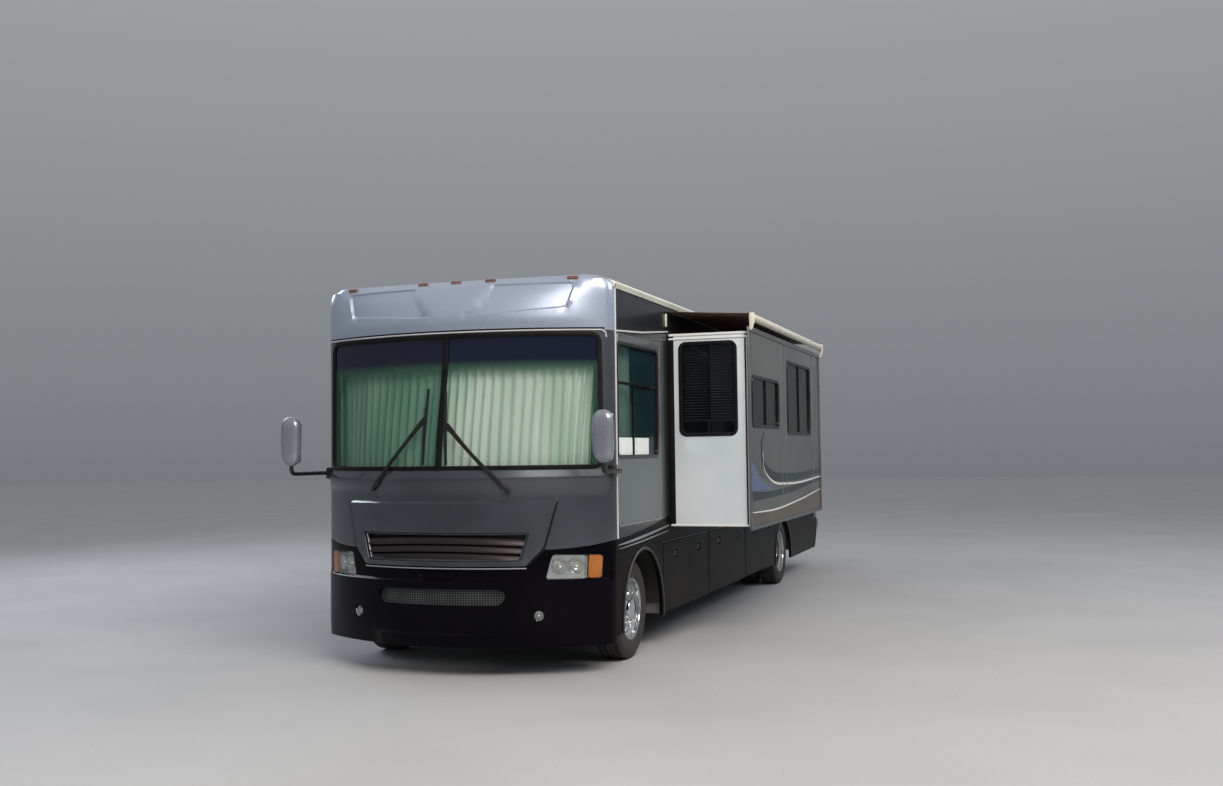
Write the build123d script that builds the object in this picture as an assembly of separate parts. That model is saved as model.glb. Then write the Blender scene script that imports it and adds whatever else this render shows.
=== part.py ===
from build123d import *
import math
import os

os.makedirs("parts", exist_ok=True)

# Vehicle frame while modelling: X = 0 on the centre plane and +X on the driver's side,
# Y = 0 at the nose and +Y to the rear, Z = 0 on the ground. Millimetres.

# Driving dimensions of the coach
body_width = 2550.0
body_length = 9980.0
skirt_bottom_z = 290.0
floor_top_z = 1000.0
floor_thick = 60.0
wall_thick = 50.0
side_top_z = 3040.0
roof_crown_z = 3130.0
front_seam_y = 600.0
rear_seam_y = 9640.0
corner_radius = 120.0
cap_thick = 40.0

# Running gear
front_axle_y = 1280.0
wheelbase = 6000.0
tyre_radius = 415.0
tyre_width = 245.0
rim_radius = 250.0
front_track_half = 1052.0
kingpin_x = 860.0
dual_centres_x = (835.0, 1115.0)
front_arch_radius = 545.0
front_arch_z = 360.0
rear_arch_radius = 500.0
rear_arch_z = 330.0
rail_x = 430.0

# Slide-out room, driver's side
slide_front_y = 2094.0
slide_rear_y = 5744.0
slide_bottom_z = 1052.0
slide_top_z = 2785.0
slide_outer_x = 2020.0
slide_inner_x = 1165.0
slide_wall = 40.0
slide_gap = 16.0

# Doors
skirt_thick = 30.0
bay_bottom_z = 300.0
bay_top_z = 930.0
door_gap = 6.0
entry_front_y = 1960.0
entry_rear_y = 2650.0
entry_bottom_z = 620.0
entry_top_z = 2640.0

half = body_width / 2
rear_axle_y = front_axle_y + wheelbase
inner_half = half - wall_thick


def block(x0, x1, y0, y1, z0, z1):
    """A box between two corners."""
    size = Box(abs(x1 - x0), abs(y1 - y0), abs(z1 - z0))
    return Pos((x0 + x1) / 2, (y0 + y1) / 2, (z0 + z1) / 2) * size


def rounded_y(x0, x1, z0, z1, y0, y1, radius):
    """A box with its four edges along Y rounded."""
    face = Pos((x0 + x1) / 2, (z0 + z1) / 2) * RectangleRounded(x1 - x0, z1 - z0, radius)
    return extrude(Plane.XZ * face, -(y1 - y0)).moved(Location((0, y0, 0)))


def rounded_x(y0, y1, z0, z1, x0, x1, radius):
    """A box with its four edges along X rounded."""
    face = Pos((y0 + y1) / 2, (z0 + z1) / 2) * RectangleRounded(y1 - y0, z1 - z0, radius)
    return extrude(Plane.YZ * face, x1 - x0).moved(Location((x0, 0, 0)))


def cylinder_x(x0, x1, y, z, radius):
    """A round bar along X."""
    return Pos((x0 + x1) / 2, y, z) * Rot(0, 90, 0) * Cylinder(radius, abs(x1 - x0))


def cylinder_y(y0, y1, x, z, radius):
    """A round bar along Y."""
    return Pos(x, (y0 + y1) / 2, z) * Rot(90, 0, 0) * Cylinder(radius, abs(y1 - y0))


def mirrored(shape):
    """The same piece on the other side of the coach."""
    return mirror(shape, about=Plane.YZ)


def pair(shape):
    """A piece and its mirror image as one node."""
    return Compound(children=[*shape.solids(), *mirrored(shape).solids()])


def group(*shapes):
    """Separate solids kept together in one node."""
    return Compound(children=[s for shape in shapes for s in shape.solids()])


# Front end: a bowed nose whose bow always runs into the side wall just ahead of the cap seam.
# Columns: height, nose set back from the foremost point, half width
nose_sections = (
    (235.0, 70.0, half - 8),
    (400.0, 14.0, half),
    (800.0, 0.0, half),
    (1060.0, 8.0, half),
    (1600.0, 30.0, half),
    (2690.0, 185.0, half),
    (2745.0, 170.0, half),
    (2960.0, 232.0, half),
    (3060.0, 300.0, half - 8),
    (3105.0, 370.0, half - 42),
    (3130.0, 430.0, half - 120),
)
bow_end_y = front_seam_y - 15


def nose_plan(z, nose_y, half_width, inset):
    """Plan outline of the nose at one height, moved inwards by inset."""
    depth = bow_end_y - nose_y
    corner_x = half_width - corner_radius
    bow = (depth ** 2 + corner_x ** 2 - corner_radius ** 2) / (2 * (depth - corner_radius))
    bow_y = nose_y + bow
    stretch = (bow - inset) / (bow - corner_radius)
    tangent = (corner_x * stretch, bow_y + (bow_end_y - bow_y) * stretch)
    reach = corner_radius - inset
    swing = math.atan2(bow_end_y - bow_y, corner_x) / 2
    knee = (corner_x + reach * math.cos(swing), bow_end_y + reach * math.sin(swing))
    side_x = half_width - inset
    outline = [
        ThreePointArc((-tangent[0], tangent[1]), (0, nose_y + inset), tangent),
        ThreePointArc(tangent, knee, (side_x, bow_end_y)),
        Line((side_x, bow_end_y), (side_x, front_seam_y)),
        Line((side_x, front_seam_y), (-side_x, front_seam_y)),
        Line((-side_x, front_seam_y), (-side_x, bow_end_y)),
        ThreePointArc((-side_x, bow_end_y), (-knee[0], knee[1]), (-tangent[0], tangent[1])),
    ]
    return Pos(0, 0, z) * make_face(outline)


def nose_body(inset):
    """The whole nose as one solid, its skin moved inwards by inset."""
    top = nose_sections[-1][0]
    faces = [
        nose_plan(z if z < top else top - inset, nose_y, half_width, inset)
        for z, nose_y, half_width in nose_sections
        if z < top - inset or z == top
    ]
    return loft(faces, ruled=True)


def set_back(z):
    """How far the nose is set back at a height between two sections."""
    for (z0, back0, _), (z1, back1, _) in zip(nose_sections[:-1], nose_sections[1:]):
        if z0 <= z <= z1:
            return back0 + (back1 - back0) * (z - z0) / (z1 - z0)


def leaning_skin(z0, z1, inset0, inset1):
    """The nose between two heights, its skin leaning from one inset to another."""
    faces = [nose_plan(z, set_back(z), half, inset) for z, inset in ((z0, inset0), (z1, inset1))]
    return loft(faces, ruled=True)


def front_view(points, y0=-200.0, y1=front_seam_y + 10):
    """A prism along Y over an outline given as X, Z points."""
    face = make_face(Polyline([(x, z) for x, z in points], close=True))
    return extrude(Plane.XZ * face, -(y1 - y0)).moved(Location((0, y0, 0)))


def both_sides(points):
    """A front view outline from the points of its driver's half, top first."""
    return front_view([*points, *[(-x, z) for x, z in reversed(points)]])


nose_outer = nose_body(0)
nose_inner = nose_body(cap_thick)
nose_shell = nose_outer - nose_inner
nose_core = nose_body(10)

# Where the black bumper ends and the painted cap starts
split_centre_z = 862.0
split_side_z = 1040.0
split_points = (
    (-1400, 100), (1400, 100), (1400, split_side_z), (half, split_side_z), (800, 992),
    (690, split_centre_z), (-690, split_centre_z), (-800, 992), (-half, split_side_z), (-1400, split_side_z),
)
bumper_zone = front_view(split_points)

# Windscreen opening
screen_half_bottom = 1212.0
screen_half_top = 1200.0
screen_bottom_z = 1605.0
screen_top_z = 2672.0
screen_zone = front_view((
    (-screen_half_bottom, screen_bottom_z + 30), (-screen_half_bottom + 60, screen_bottom_z),
    (screen_half_bottom - 60, screen_bottom_z), (screen_half_bottom, screen_bottom_z + 30),
    (screen_half_top, screen_top_z - 40), (screen_half_top - 40, screen_top_z),
    (-screen_half_top + 40, screen_top_z), (-screen_half_top, screen_top_z - 40),
), y1=front_seam_y - 60)
windscreen = (nose_body(8) - nose_body(16)) & screen_zone

# Grille opening
grille_top_z = 1119.0
grille_bottom_z = 898.0
grille_half_top = 713.0
grille_half_bottom = 650.0
grille_zone = front_view((
    (-grille_half_bottom, grille_bottom_z), (grille_half_bottom, grille_bottom_z),
    (grille_half_top, grille_top_z), (-grille_half_top, grille_top_z),
), y1=300)
front_cap = nose_shell

# Raised bonnet panel, the ledge under the windscreen, and the pressed brow with its centre boss
hood_height = 15.0
ledge_height = 16.0
ledge_z = (1530.0, 1592.0)
ledge_half = 1224.0
recess_depth = 12.0
hood_zone = both_sides(((894, 1352), (800, 985), (690, 850)))
front_cap += (nose_body(-hood_height) - nose_core) & hood_zone
front_cap += (nose_body(-ledge_height) - nose_core) & block(-ledge_half, ledge_half, -100, 560, *ledge_z)
recess_zone = both_sides(((962, 3052), (936, 2872), (500, 2842)))
recess_zone -= both_sides(((470, 3075), (400, 2960), (235, 2836), (120, 2822)))
front_cap -= (nose_body(-10) - nose_body(recess_depth)) & recess_zone
front_cap = front_cap - bumper_zone - screen_zone - grille_zone
front_cap = front_cap & block(-1400, 1400, -100, front_seam_y, 500, 3200)

# Grille: a frame in the opening, three wide arched louvres that lean back, and a bright bar below
grille_rim = 22.0
grille_face = -10.0
grille_back = 34.0
grille_inner = front_view((
    (-grille_half_bottom + grille_rim, grille_bottom_z + grille_rim),
    (grille_half_bottom - grille_rim, grille_bottom_z + grille_rim),
    (grille_half_top - grille_rim, grille_top_z - grille_rim),
    (-grille_half_top + grille_rim, grille_top_z - grille_rim),
), y1=300)
grille = ((nose_body(grille_face) - nose_body(grille_back)) & grille_zone) - grille_inner
louvre_count = 3
louvre_pitch = 55.0
louvre_height = 40.0
louvre_rise = 18.0
louvre_thick = 8.0
louvre_reach = 720.0
for louvre in range(louvre_count):
    low_z = grille_bottom_z + grille_rim + louvre_pitch * louvre
    high_z = low_z + louvre_height
    arch = make_face([
        ThreePointArc((-louvre_reach, low_z), (0, low_z + louvre_rise), (louvre_reach, low_z)),
        Line((louvre_reach, low_z), (louvre_reach, high_z)),
        ThreePointArc((louvre_reach, high_z), (0, high_z + louvre_rise), (-louvre_reach, high_z)),
        Line((-louvre_reach, high_z), (-louvre_reach, low_z)),
    ])
    band = extrude(Plane.XZ * arch, -400).moved(Location((0, -100, 0)))
    over_z = high_z + louvre_rise + 1
    blade = leaning_skin(low_z - 1, over_z, grille_face + 2, grille_back - louvre_thick)
    blade -= leaning_skin(low_z - 1, over_z, grille_face + 2 + louvre_thick, grille_back)
    grille += blade & band & grille_zone
bar_half = 691.0
bar_z = (832.0, 848.0)
bright_bar = (nose_body(-6) - nose_outer) & block(-bar_half, bar_half, -100, 400, *bar_z)

# Bumper: lamp pockets, lower intake, fog lamp holes
lamp_zone = front_view(((824, 756), (1192, 756), (1202, 930), (870, 944)), y1=560)
lamp_zones = [lamp_zone, mirrored(lamp_zone)]
intake_zone = rounded_y(-548, 548, 560, 690, -100, 300, 50)
fog_x = 774.0
fog_z = 482.0
fog_radius = 46.0
step_height = 18.0
step_top_z = 748.0
lip_height = 30.0
front_bumper = nose_shell & bumper_zone
front_bumper += (nose_body(-step_height) - nose_core) & block(-half, half, -100, 590, 200, step_top_z)
front_bumper += (nose_body(-lip_height) - nose_core) & both_sides(((520, 330), (575, 200)))
notch = rounded_y(-165, 165, 756, 830, -100, 300, 36)
front_bumper -= notch & (nose_body(-10) - nose_body(14))
front_bumper -= intake_zone
headlights = []
for zone in lamp_zones:
    front_bumper -= zone
    headlights.append((nose_body(5) - nose_body(35)) & zone)
fog_lamps = []
for side in (-1, 1):
    hole = cylinder_y(-100, 400, side * fog_x, fog_z, fog_radius)
    front_bumper -= hole
    fog_lamps.append((nose_body(8 - step_height) - nose_body(38 - step_height)) & hole)
front_bumper = front_bumper & block(-1400, 1400, -100, front_seam_y, 200, 1100)
intake_mesh = (nose_body(12) - nose_body(30)) & intake_zone

# Floor, walls and roof of the house
floor_bottom_z = floor_top_z - floor_thick
floor = block(-inner_half, inner_half, front_seam_y, rear_seam_y, floor_bottom_z, floor_top_z)
cab_floor = nose_inner & block(-half, half, 130, front_seam_y, floor_bottom_z, floor_top_z)
floor += cab_floor
left_wall = block(inner_half, half, front_seam_y, rear_seam_y, floor_bottom_z, side_top_z)
right_wall = block(-half, -inner_half, front_seam_y, rear_seam_y, floor_bottom_z, side_top_z)

# Window openings. Columns: side of the coach, front, rear, bottom, top
cab_window = (627.0, 1745.0, 1675.0, 2610.0)
wall_windows = (
    (1, *cab_window),
    (1, 8150.0, 9050.0, 1800.0, 2450.0),
    (-1, *cab_window),
    (-1, 2950.0, 4050.0, 1780.0, 2480.0),
    (-1, 4750.0, 5650.0, 1980.0, 2480.0),
    (-1, 8000.0, 9050.0, 1800.0, 2450.0),
)
window_radius = 60.0
pane_thick = 8.0
frame_width = 32.0


def window_x(side, y0, y1, z0, z1, face_x, depth):
    """Frame and pane of a window in a wall whose outer face is at face_x."""
    outer = rounded_x(y0, y1, z0, z1, face_x - depth, face_x + 6, window_radius)
    inner = rounded_x(y0 + frame_width, y1 - frame_width, z0 + frame_width, z1 - frame_width,
                      face_x - depth - 10, face_x + 20, window_radius - frame_width + 4)
    pane = rounded_x(y0 + frame_width, y1 - frame_width, z0 + frame_width, z1 - frame_width,
                     face_x - 14 - pane_thick, face_x - 14, window_radius - frame_width + 4)
    frame, glass = outer - inner, pane
    if side < 0:
        return mirrored(frame), mirrored(glass)
    return frame, glass


left_frames, left_panes, right_frames, right_panes = [], [], [], []
for side, y0, y1, z0, z1 in wall_windows:
    hole = rounded_x(y0, y1, z0, z1, half - 100, half + 50, window_radius)
    frame, glass = window_x(side, y0, y1, z0, z1, half, wall_thick)
    if side > 0:
        left_wall -= hole
        left_frames.append(frame)
        left_panes.append(glass)
    else:
        right_wall -= mirrored(hole)
        right_frames.append(frame)
        right_panes.append(glass)
left_wall -= block(half - 100, half + 50, slide_front_y - slide_gap, slide_rear_y + slide_gap,
                   slide_bottom_z - slide_gap, slide_top_z + slide_gap)
entry_zone = rounded_x(entry_front_y, entry_rear_y, entry_bottom_z, entry_top_z, -half - 50, -half + 120, 60)
right_wall -= entry_zone

# Columns: distance in from the side, height
roof_edge = ((0.0, 3062.0), (12.0, 3088.0), (45.0, 3106.0), (150.0, 3116.0))


def roof_section(low_z, inset):
    """The section under the rounded roof, moved inwards by inset."""
    side = [(half - inset, low_z), *[(half - max(inset, away), z - inset) for away, z in roof_edge]]
    points = [*side, (0, roof_crown_z - inset), *[(-x, z) for x, z in reversed(side)]]
    return Plane.XZ * make_face(Polyline(points, close=True))


roof = extrude(roof_section(side_top_z, 0), -(rear_seam_y - front_seam_y)).moved(Location((0, front_seam_y, 0)))
gutter = block(half, half + 12, front_seam_y, rear_seam_y, side_top_z - 4, side_top_z + 14)
gutter += block(half + 8, half + 12, front_seam_y, rear_seam_y, side_top_z + 14, side_top_z + 22)
roof = roof + gutter + mirrored(gutter)

# Rear cap and bumper
rear_bottom_z = 720.0
bumper_low_z = 516.0
bumper_high_z = 710.0
rear_corner_radius = 170.0
rear_top_radius = 110.0


def rear_body(inset):
    """The rear end as one solid, its corners rounded in plan and from the side."""
    reach = body_length - inset
    top_z = roof_crown_z - inset
    solid = extrude(roof_section(rear_bottom_z - 50, inset), -(reach - rear_seam_y + 200))
    solid = solid.moved(Location((0, rear_seam_y - 200, 0)))
    envelope = block(-half + inset, half - inset, rear_seam_y - 300, reach, rear_bottom_z - 60, top_z)
    envelope = fillet(envelope.edges().filter_by(Axis.X).group_by(Axis.Z)[-1].group_by(Axis.Y)[-1],
                      rear_top_radius - inset)
    upright = envelope.edges().filter_by(Axis.Z).group_by(Axis.Y)[-1]
    return solid & fillet(upright, rear_corner_radius - inset)


rear_cap = rear_body(0) - rear_body(cap_thick)
rear_cap = rear_cap & block(-1400, 1400, rear_seam_y, body_length + 10, rear_bottom_z, 3200)
plate_z = 900.0
plate_bolts = [(x, z) for x in (-89.0, 89.0) for z in (plate_z - 60.5, plate_z + 60.5)]
for x, z in plate_bolts:
    rear_cap -= cylinder_y(body_length - 60, body_length + 10, x, z, 3.2)
tail_zone = rounded_y(1045, 1165, 1150, 1750, body_length - 150, body_length + 50, 40)
tail_lights = []
for zone in (tail_zone, mirrored(tail_zone)):
    rear_cap -= zone
    tail_lights.append(zone & (rear_body(-6) - rear_body(30)))
rear_bumper = rounded_y(-half + 10, half - 10, bumper_low_z, bumper_high_z, body_length - 150, body_length + 20, 60)

# Lower sides: fixed skirt panels round the wheels, and hinged bay doors between them
# Columns: side of the coach, front, rear
bay_doors = (
    (1, 1850.0, 3440.0),
    (1, 3450.0, 5070.0),
    (1, 5080.0, 6730.0),
    (-1, 2720.0, 4040.0),
    (-1, 4050.0, 5370.0),
    (-1, 5380.0, 6730.0),
)
skirt_outline = block(half - skirt_thick, half, front_seam_y, rear_seam_y, skirt_bottom_z, floor_bottom_z)
front_arch = cylinder_x(half - 100, half + 50, front_axle_y, front_arch_z, front_arch_radius)
rear_arch = cylinder_x(half - 100, half + 50, rear_axle_y, rear_arch_z, rear_arch_radius)
lip_wide = 26.0
lip_out = 10.0
left_skirt = skirt_outline
for y, z, radius in ((front_axle_y, front_arch_z, front_arch_radius), (rear_axle_y, rear_arch_z, rear_arch_radius)):
    lip = cylinder_x(half - 10, half + lip_out, y, z, radius + lip_wide)
    left_skirt += lip & block(0, 2 * half, front_seam_y, rear_seam_y, skirt_bottom_z, floor_bottom_z)
left_skirt = left_skirt - front_arch - rear_arch
right_skirt = mirrored(left_skirt)
latch_z = 800.0
latch_size = (120.0, 64.0)
bay_solids = []
for side, y0, y1 in bay_doors:
    opening = block(half - 100, half + 50, y0, y1, skirt_bottom_z - 10, bay_top_z)
    door = block(half - skirt_thick, half, y0 + door_gap, y1 - door_gap, bay_bottom_z, bay_top_z - door_gap)
    door = fillet(door.edges().filter_by(Axis.Y).group_by(Axis.X)[-1], 8)
    for latch_y in (y0 + (y1 - y0) / 4, y1 - (y1 - y0) / 4):
        wide, tall = latch_size[0] / 2, latch_size[1] / 2
        door -= rounded_x(latch_y - wide, latch_y + wide, latch_z - tall, latch_z + tall, half - 14, half + 10, 16)
        door += rounded_x(latch_y - wide + 8, latch_y + wide - 8, latch_z - tall + 14, latch_z + tall - 8,
                          half - 15, half - 4, 10)
    if side > 0:
        left_skirt -= opening
        bay_solids.append(door)
    else:
        right_skirt -= mirrored(opening)
        bay_solids.append(mirrored(door))
right_skirt -= entry_zone

# Storage bays: open-sided pans hung from the floor
bay_wall = 20.0
bay_inner_x = 560.0
bay_outer_x = 1228.0


def storage_bays(front_y, rear_y, dividers):
    """A pan with a floor, back, ends and dividers, open to the side."""
    pan = block(bay_inner_x, bay_outer_x, front_y, rear_y, skirt_bottom_z + 10, floor_bottom_z)
    edges = [front_y, *dividers, rear_y]
    for y0, y1 in zip(edges[:-1], edges[1:]):
        pan -= block(bay_inner_x + bay_wall, bay_outer_x + 50, y0 + bay_wall, y1 - bay_wall,
                     skirt_bottom_z + 10 + bay_wall, floor_bottom_z - bay_wall)
    return pan


left_bays = storage_bays(1870, 6710, (3445, 5075))
right_bays = mirrored(storage_bays(2740, 6710, (4045, 5375)))


# Wheel wells: half tunnels over the tyres
def wheel_well(y, z, radius, inner_x):
    """A half tunnel, open below."""
    outer = cylinder_x(inner_x, half - skirt_thick - 4, y, z, radius + 18)
    inner = cylinder_x(inner_x - 10, half, y, z, radius + 6)
    return (outer - inner) & block(0, half, y - 700, y + 700, z + 60, floor_bottom_z)


front_well = wheel_well(front_axle_y, front_arch_z, front_arch_radius, 600)
rear_well = wheel_well(rear_axle_y, rear_arch_z, rear_arch_radius, 620)
wheel_wells = group(pair(front_well), pair(rear_well))

# Entry step well
step_well = block(-half + skirt_thick, -600, entry_front_y - 20, entry_rear_y + 20, 560, floor_bottom_z)
step_well -= block(-half - 10, -900, entry_front_y, entry_rear_y, 600, floor_bottom_z + 10)
step_well -= block(-900, -620, entry_front_y, entry_rear_y, 790, floor_bottom_z + 10)
floor -= block(-half, -620, entry_front_y, entry_rear_y, floor_bottom_z - 10, floor_top_z + 10)

# Entry door
entry_clear = 6.0
entry_door = rounded_x(entry_front_y + entry_clear, entry_rear_y - entry_clear, entry_bottom_z + entry_clear,
                       entry_top_z - entry_clear, -half, -half + 40, 54)
door_window = rounded_x(entry_front_y + 130, entry_rear_y - 130, 1850, 2450, -half - 10, -half + 60, 50)
entry_door -= door_window
entry_door_glass = rounded_x(entry_front_y + 130, entry_rear_y - 130, 1850, 2450, -half + 12, -half + 20, 50)
handle = rounded_x(entry_rear_y - 110, entry_rear_y - 50, 1480, 1640, -half - 22, -half, 14)
entry_door += handle

# Slide-out room
slide_floor = 50.0
inside_z = (slide_bottom_z + slide_floor, slide_top_z - slide_wall)
slide_floor_panel = block(slide_inner_x, slide_outer_x, slide_front_y, slide_rear_y, slide_bottom_z, inside_z[0])
slide_roof_panel = block(slide_inner_x, slide_outer_x, slide_front_y, slide_rear_y, inside_z[1], slide_top_z)
slide_side = block(slide_outer_x - slide_wall, slide_outer_x, slide_front_y, slide_rear_y, *inside_z)
slide_front = block(slide_inner_x, slide_outer_x - slide_wall, slide_front_y, slide_front_y + slide_wall, *inside_z)
slide_rear = block(slide_inner_x, slide_outer_x - slide_wall, slide_rear_y - slide_wall, slide_rear_y, *inside_z)
flange_x = slide_outer_x - 6
flange_over = 44.0
flange = rounded_x(slide_front_y - flange_over, slide_rear_y + flange_over, slide_bottom_z - flange_over + 10,
                   slide_top_z + flange_over, flange_x, flange_x + 18, 20)
flange -= block(flange_x - 10, flange_x + 40, slide_front_y, slide_rear_y, slide_bottom_z, slide_top_z)
# Columns: front, rear, bottom, top of the windows in the long side
slide_side_windows = (
    (2200.0, 3400.0, 1930.0, 2400.0),
    (3850.0, 5170.0, 1880.0, 2635.0),
)
slide_frames, slide_panes = [], []
for y0, y1, z0, z1 in slide_side_windows:
    slide_side -= rounded_x(y0, y1, z0, z1, slide_outer_x - 100, slide_outer_x + 50, window_radius)
    frame, glass = window_x(1, y0, y1, z0, z1, slide_outer_x, slide_wall)
    slide_frames.append(frame)
    slide_panes.append(glass)
end_window = (1376.0, 1908.0, 1860.0, 2705.0)
ex0, ex1, ez0, ez1 = end_window
slide_front -= rounded_y(ex0, ex1, ez0, ez1, slide_front_y - 50, slide_front_y + 100, window_radius)
end_frame = rounded_y(ex0, ex1, ez0, ez1, slide_front_y - 6, slide_front_y + slide_wall, window_radius)
end_frame -= rounded_y(ex0 + frame_width, ex1 - frame_width, ez0 + frame_width, ez1 - frame_width,
                       slide_front_y - 50, slide_front_y + 100, window_radius - frame_width + 4)
end_pane = rounded_y(ex0 + frame_width, ex1 - frame_width, ez0 + frame_width, ez1 - frame_width,
                     slide_front_y + 14, slide_front_y + 14 + pane_thick, window_radius - frame_width + 4)
slide_frames.append(end_frame)
slide_panes.append(end_pane)
slide_room = group(slide_floor_panel, slide_roof_panel, slide_side, slide_front, slide_rear, flange)

# Slide topper: a roller on two brackets, and the fabric back to the coach side
roller_x = slide_outer_x + 32
roller_z = 2905.0
roller_radius = 34.0
topper_front_y = slide_front_y - 30
topper_rear_y = slide_rear_y + 30
topper_roller = cylinder_y(topper_front_y + 22, topper_rear_y - 22, roller_x, roller_z, roller_radius)
for y0, y1 in ((topper_front_y, topper_front_y + 20), (topper_rear_y - 20, topper_rear_y)):
    arm = block(flange_x + 18, roller_x + 30, y0, y1, slide_top_z - 60, roller_z + 40)
    topper_roller += arm

topper_rail_z = 2990.0
topper_slack = 3.0
fabric_end = (roller_x - 20, roller_z + roller_radius + 2)
fabric_face = make_face(Polyline([
    (half + 2, topper_rail_z), fabric_end, (fabric_end[0], fabric_end[1] + topper_slack),
    (half + 2, topper_rail_z + topper_slack),
], close=True))
topper_fabric = extrude(Plane.XZ * fabric_face, -(slide_rear_y - slide_front_y))
topper_fabric = topper_fabric.moved(Location((0, slide_front_y, 0)))

# Chassis: two channel rails with cross members and the hitch receiver
rail_bottom_z = 560.0
rail_top_z = 790.0
rail_front_y = 330.0
rail_rear_y = 9780.0
rail_half = 40.0
rail_web = 8.0
rail_flange = 9.0
rail = block(rail_x - rail_half, rail_x + rail_half, rail_front_y, rail_rear_y, rail_bottom_z, rail_top_z)
rail -= block(rail_x - rail_half - 10, rail_x + rail_half - rail_web, rail_front_y - 10, rail_rear_y + 10,
              rail_bottom_z + rail_flange, rail_top_z - rail_flange)
cross_reach = rail_x + rail_half - rail_web
cross_members = [
    block(-cross_reach, cross_reach, y - 40, y + 40, rail_bottom_z + 30, rail_top_z - 30)
    for y in (420.0, 2300.0, 3900.0, 5500.0, 6500.0, 8100.0, 9500.0)
]
# Body mounts: a pad on the rail with a tapered wing under the floor
mount_tip_x = 555.0
mount_face = make_face(Polyline([
    (rail_x - rail_half, rail_top_z), (rail_x + rail_half, rail_top_z), (rail_x + rail_half, rail_top_z - 90),
    (rail_x + rail_half + 8, rail_top_z - 90), (mount_tip_x, floor_bottom_z - 12), (mount_tip_x, floor_bottom_z),
    (rail_x - rail_half, floor_bottom_z),
], close=True))
body_mounts = []
for y in (700.0, 1760.0, 3100.0, 4700.0, 6300.0, 7900.0, 9300.0):
    body_mounts.append(pair(extrude(Plane.XZ * mount_face, -80).moved(Location((0, y - 40, 0)))))
# Jacking pads under the rails
jack_pad_y = 2700.0
jack_pad = block(rail_x - 60, rail_x + 60, jack_pad_y - 60, jack_pad_y + 60, rail_bottom_z - 12, rail_bottom_z)
# Hitch: a drop bar under the rails and a square receiver tube with its pin hole
receiver_z = 470.0
receiver_half = 38.0
socket_half = 26.0
receiver = block(-receiver_half, receiver_half, 9560, body_length + 10,
                 receiver_z - receiver_half, receiver_z + receiver_half)
receiver += block(-rail_x - rail_half, rail_x + rail_half, 9520, 9580, receiver_z - 40, rail_bottom_z)
receiver -= block(-socket_half, socket_half, 9580, body_length + 20, receiver_z - socket_half, receiver_z + socket_half)
receiver -= cylinder_x(-60, 60, body_length - 60, receiver_z, 8)
chassis = group(pair(rail), *cross_members, *body_mounts, pair(jack_pad), receiver)

# Engine and drive line
engine_rear_y = 1500.0
banjo_half = 75.0
engine = block(-300, 300, 470, engine_rear_y, 470, 930)
for y in (640.0, 1330.0):
    engine += block(-rail_x, rail_x, y - 35, y + 35, rail_bottom_z + rail_flange, rail_bottom_z + 60)
driveshaft = cylinder_y(engine_rear_y, rear_axle_y - banjo_half, 0, 500, 45)
tank_y = (7950.0, 9250.0)
fuel_tank = rounded_y(-360, 360, 330, 540, *tank_y, 60)
for y in (tank_y[0] + 250, tank_y[1] - 300):
    fuel_tank += rounded_y(-364, 364, 326, 544, y, y + 50, 62)
    fuel_tank += block(-rail_x, rail_x, y, y + 50, 536, rail_bottom_z)
exhaust_x = -330.0
exhaust_z = 480.0
exhaust = cylinder_y(1700, 6200, exhaust_x, exhaust_z, 38)
exhaust += cylinder_y(5000, 5900, exhaust_x, exhaust_z, 95)
exhaust = exhaust & block(-500, 0, 1700, 6200, 300, 552)
for y in (1900.0, 4900.0, 6050.0):
    exhaust += block(-rail_x, exhaust_x, y, y + 30, exhaust_z, rail_bottom_z)

# Axles
pin_gap = 0.1
front_axle_z = tyre_radius
beam_half = 45.0
beam_web = 14.0
beam_end = kingpin_x - 38
beam_lower = ((400.0, -145.0), (470.0, -100.0), (beam_end, -100.0))
beam_upper = ((beam_end, -20.0), (450.0, -20.0), (380.0, -65.0))
beam_side = [(x, front_axle_z + z) for x, z in (*beam_lower, *beam_upper)]
beam_face = make_face(Polyline([*beam_side, *[(-x, z) for x, z in reversed(beam_side)]], close=True))
front_axle = extrude(Plane.XZ * beam_face, -2 * beam_half).moved(Location((0, front_axle_y - beam_half, 0)))
pocket = extrude(Plane.XZ * offset(beam_face, -beam_web), -(beam_half - beam_web / 2))
front_axle -= pocket.moved(Location((0, front_axle_y - beam_half, 0)))
front_axle -= pocket.moved(Location((0, front_axle_y + beam_web / 2, 0)))
for side in (-1, 1):
    eye = Pos(side * kingpin_x, front_axle_y, front_axle_z - 30) * Cylinder(42, 146)
    front_axle += eye
    front_axle -= Pos(side * kingpin_x, front_axle_y, front_axle_z - 30) * Cylinder(17 + pin_gap, 200)

rear_axle = cylinder_x(-700, 700, rear_axle_y, tyre_radius, 70)
banjo = Pos(0, rear_axle_y, tyre_radius) * Rot(90, 0, 0) * Cylinder(200, 2 * banjo_half)
rear_axle += fillet(banjo.edges(), 40)
spindle_radius = 42.0
for side in (-1, 1):
    rear_axle += cylinder_x(side * 690, side * 1150, rear_axle_y, tyre_radius, spindle_radius)

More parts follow.
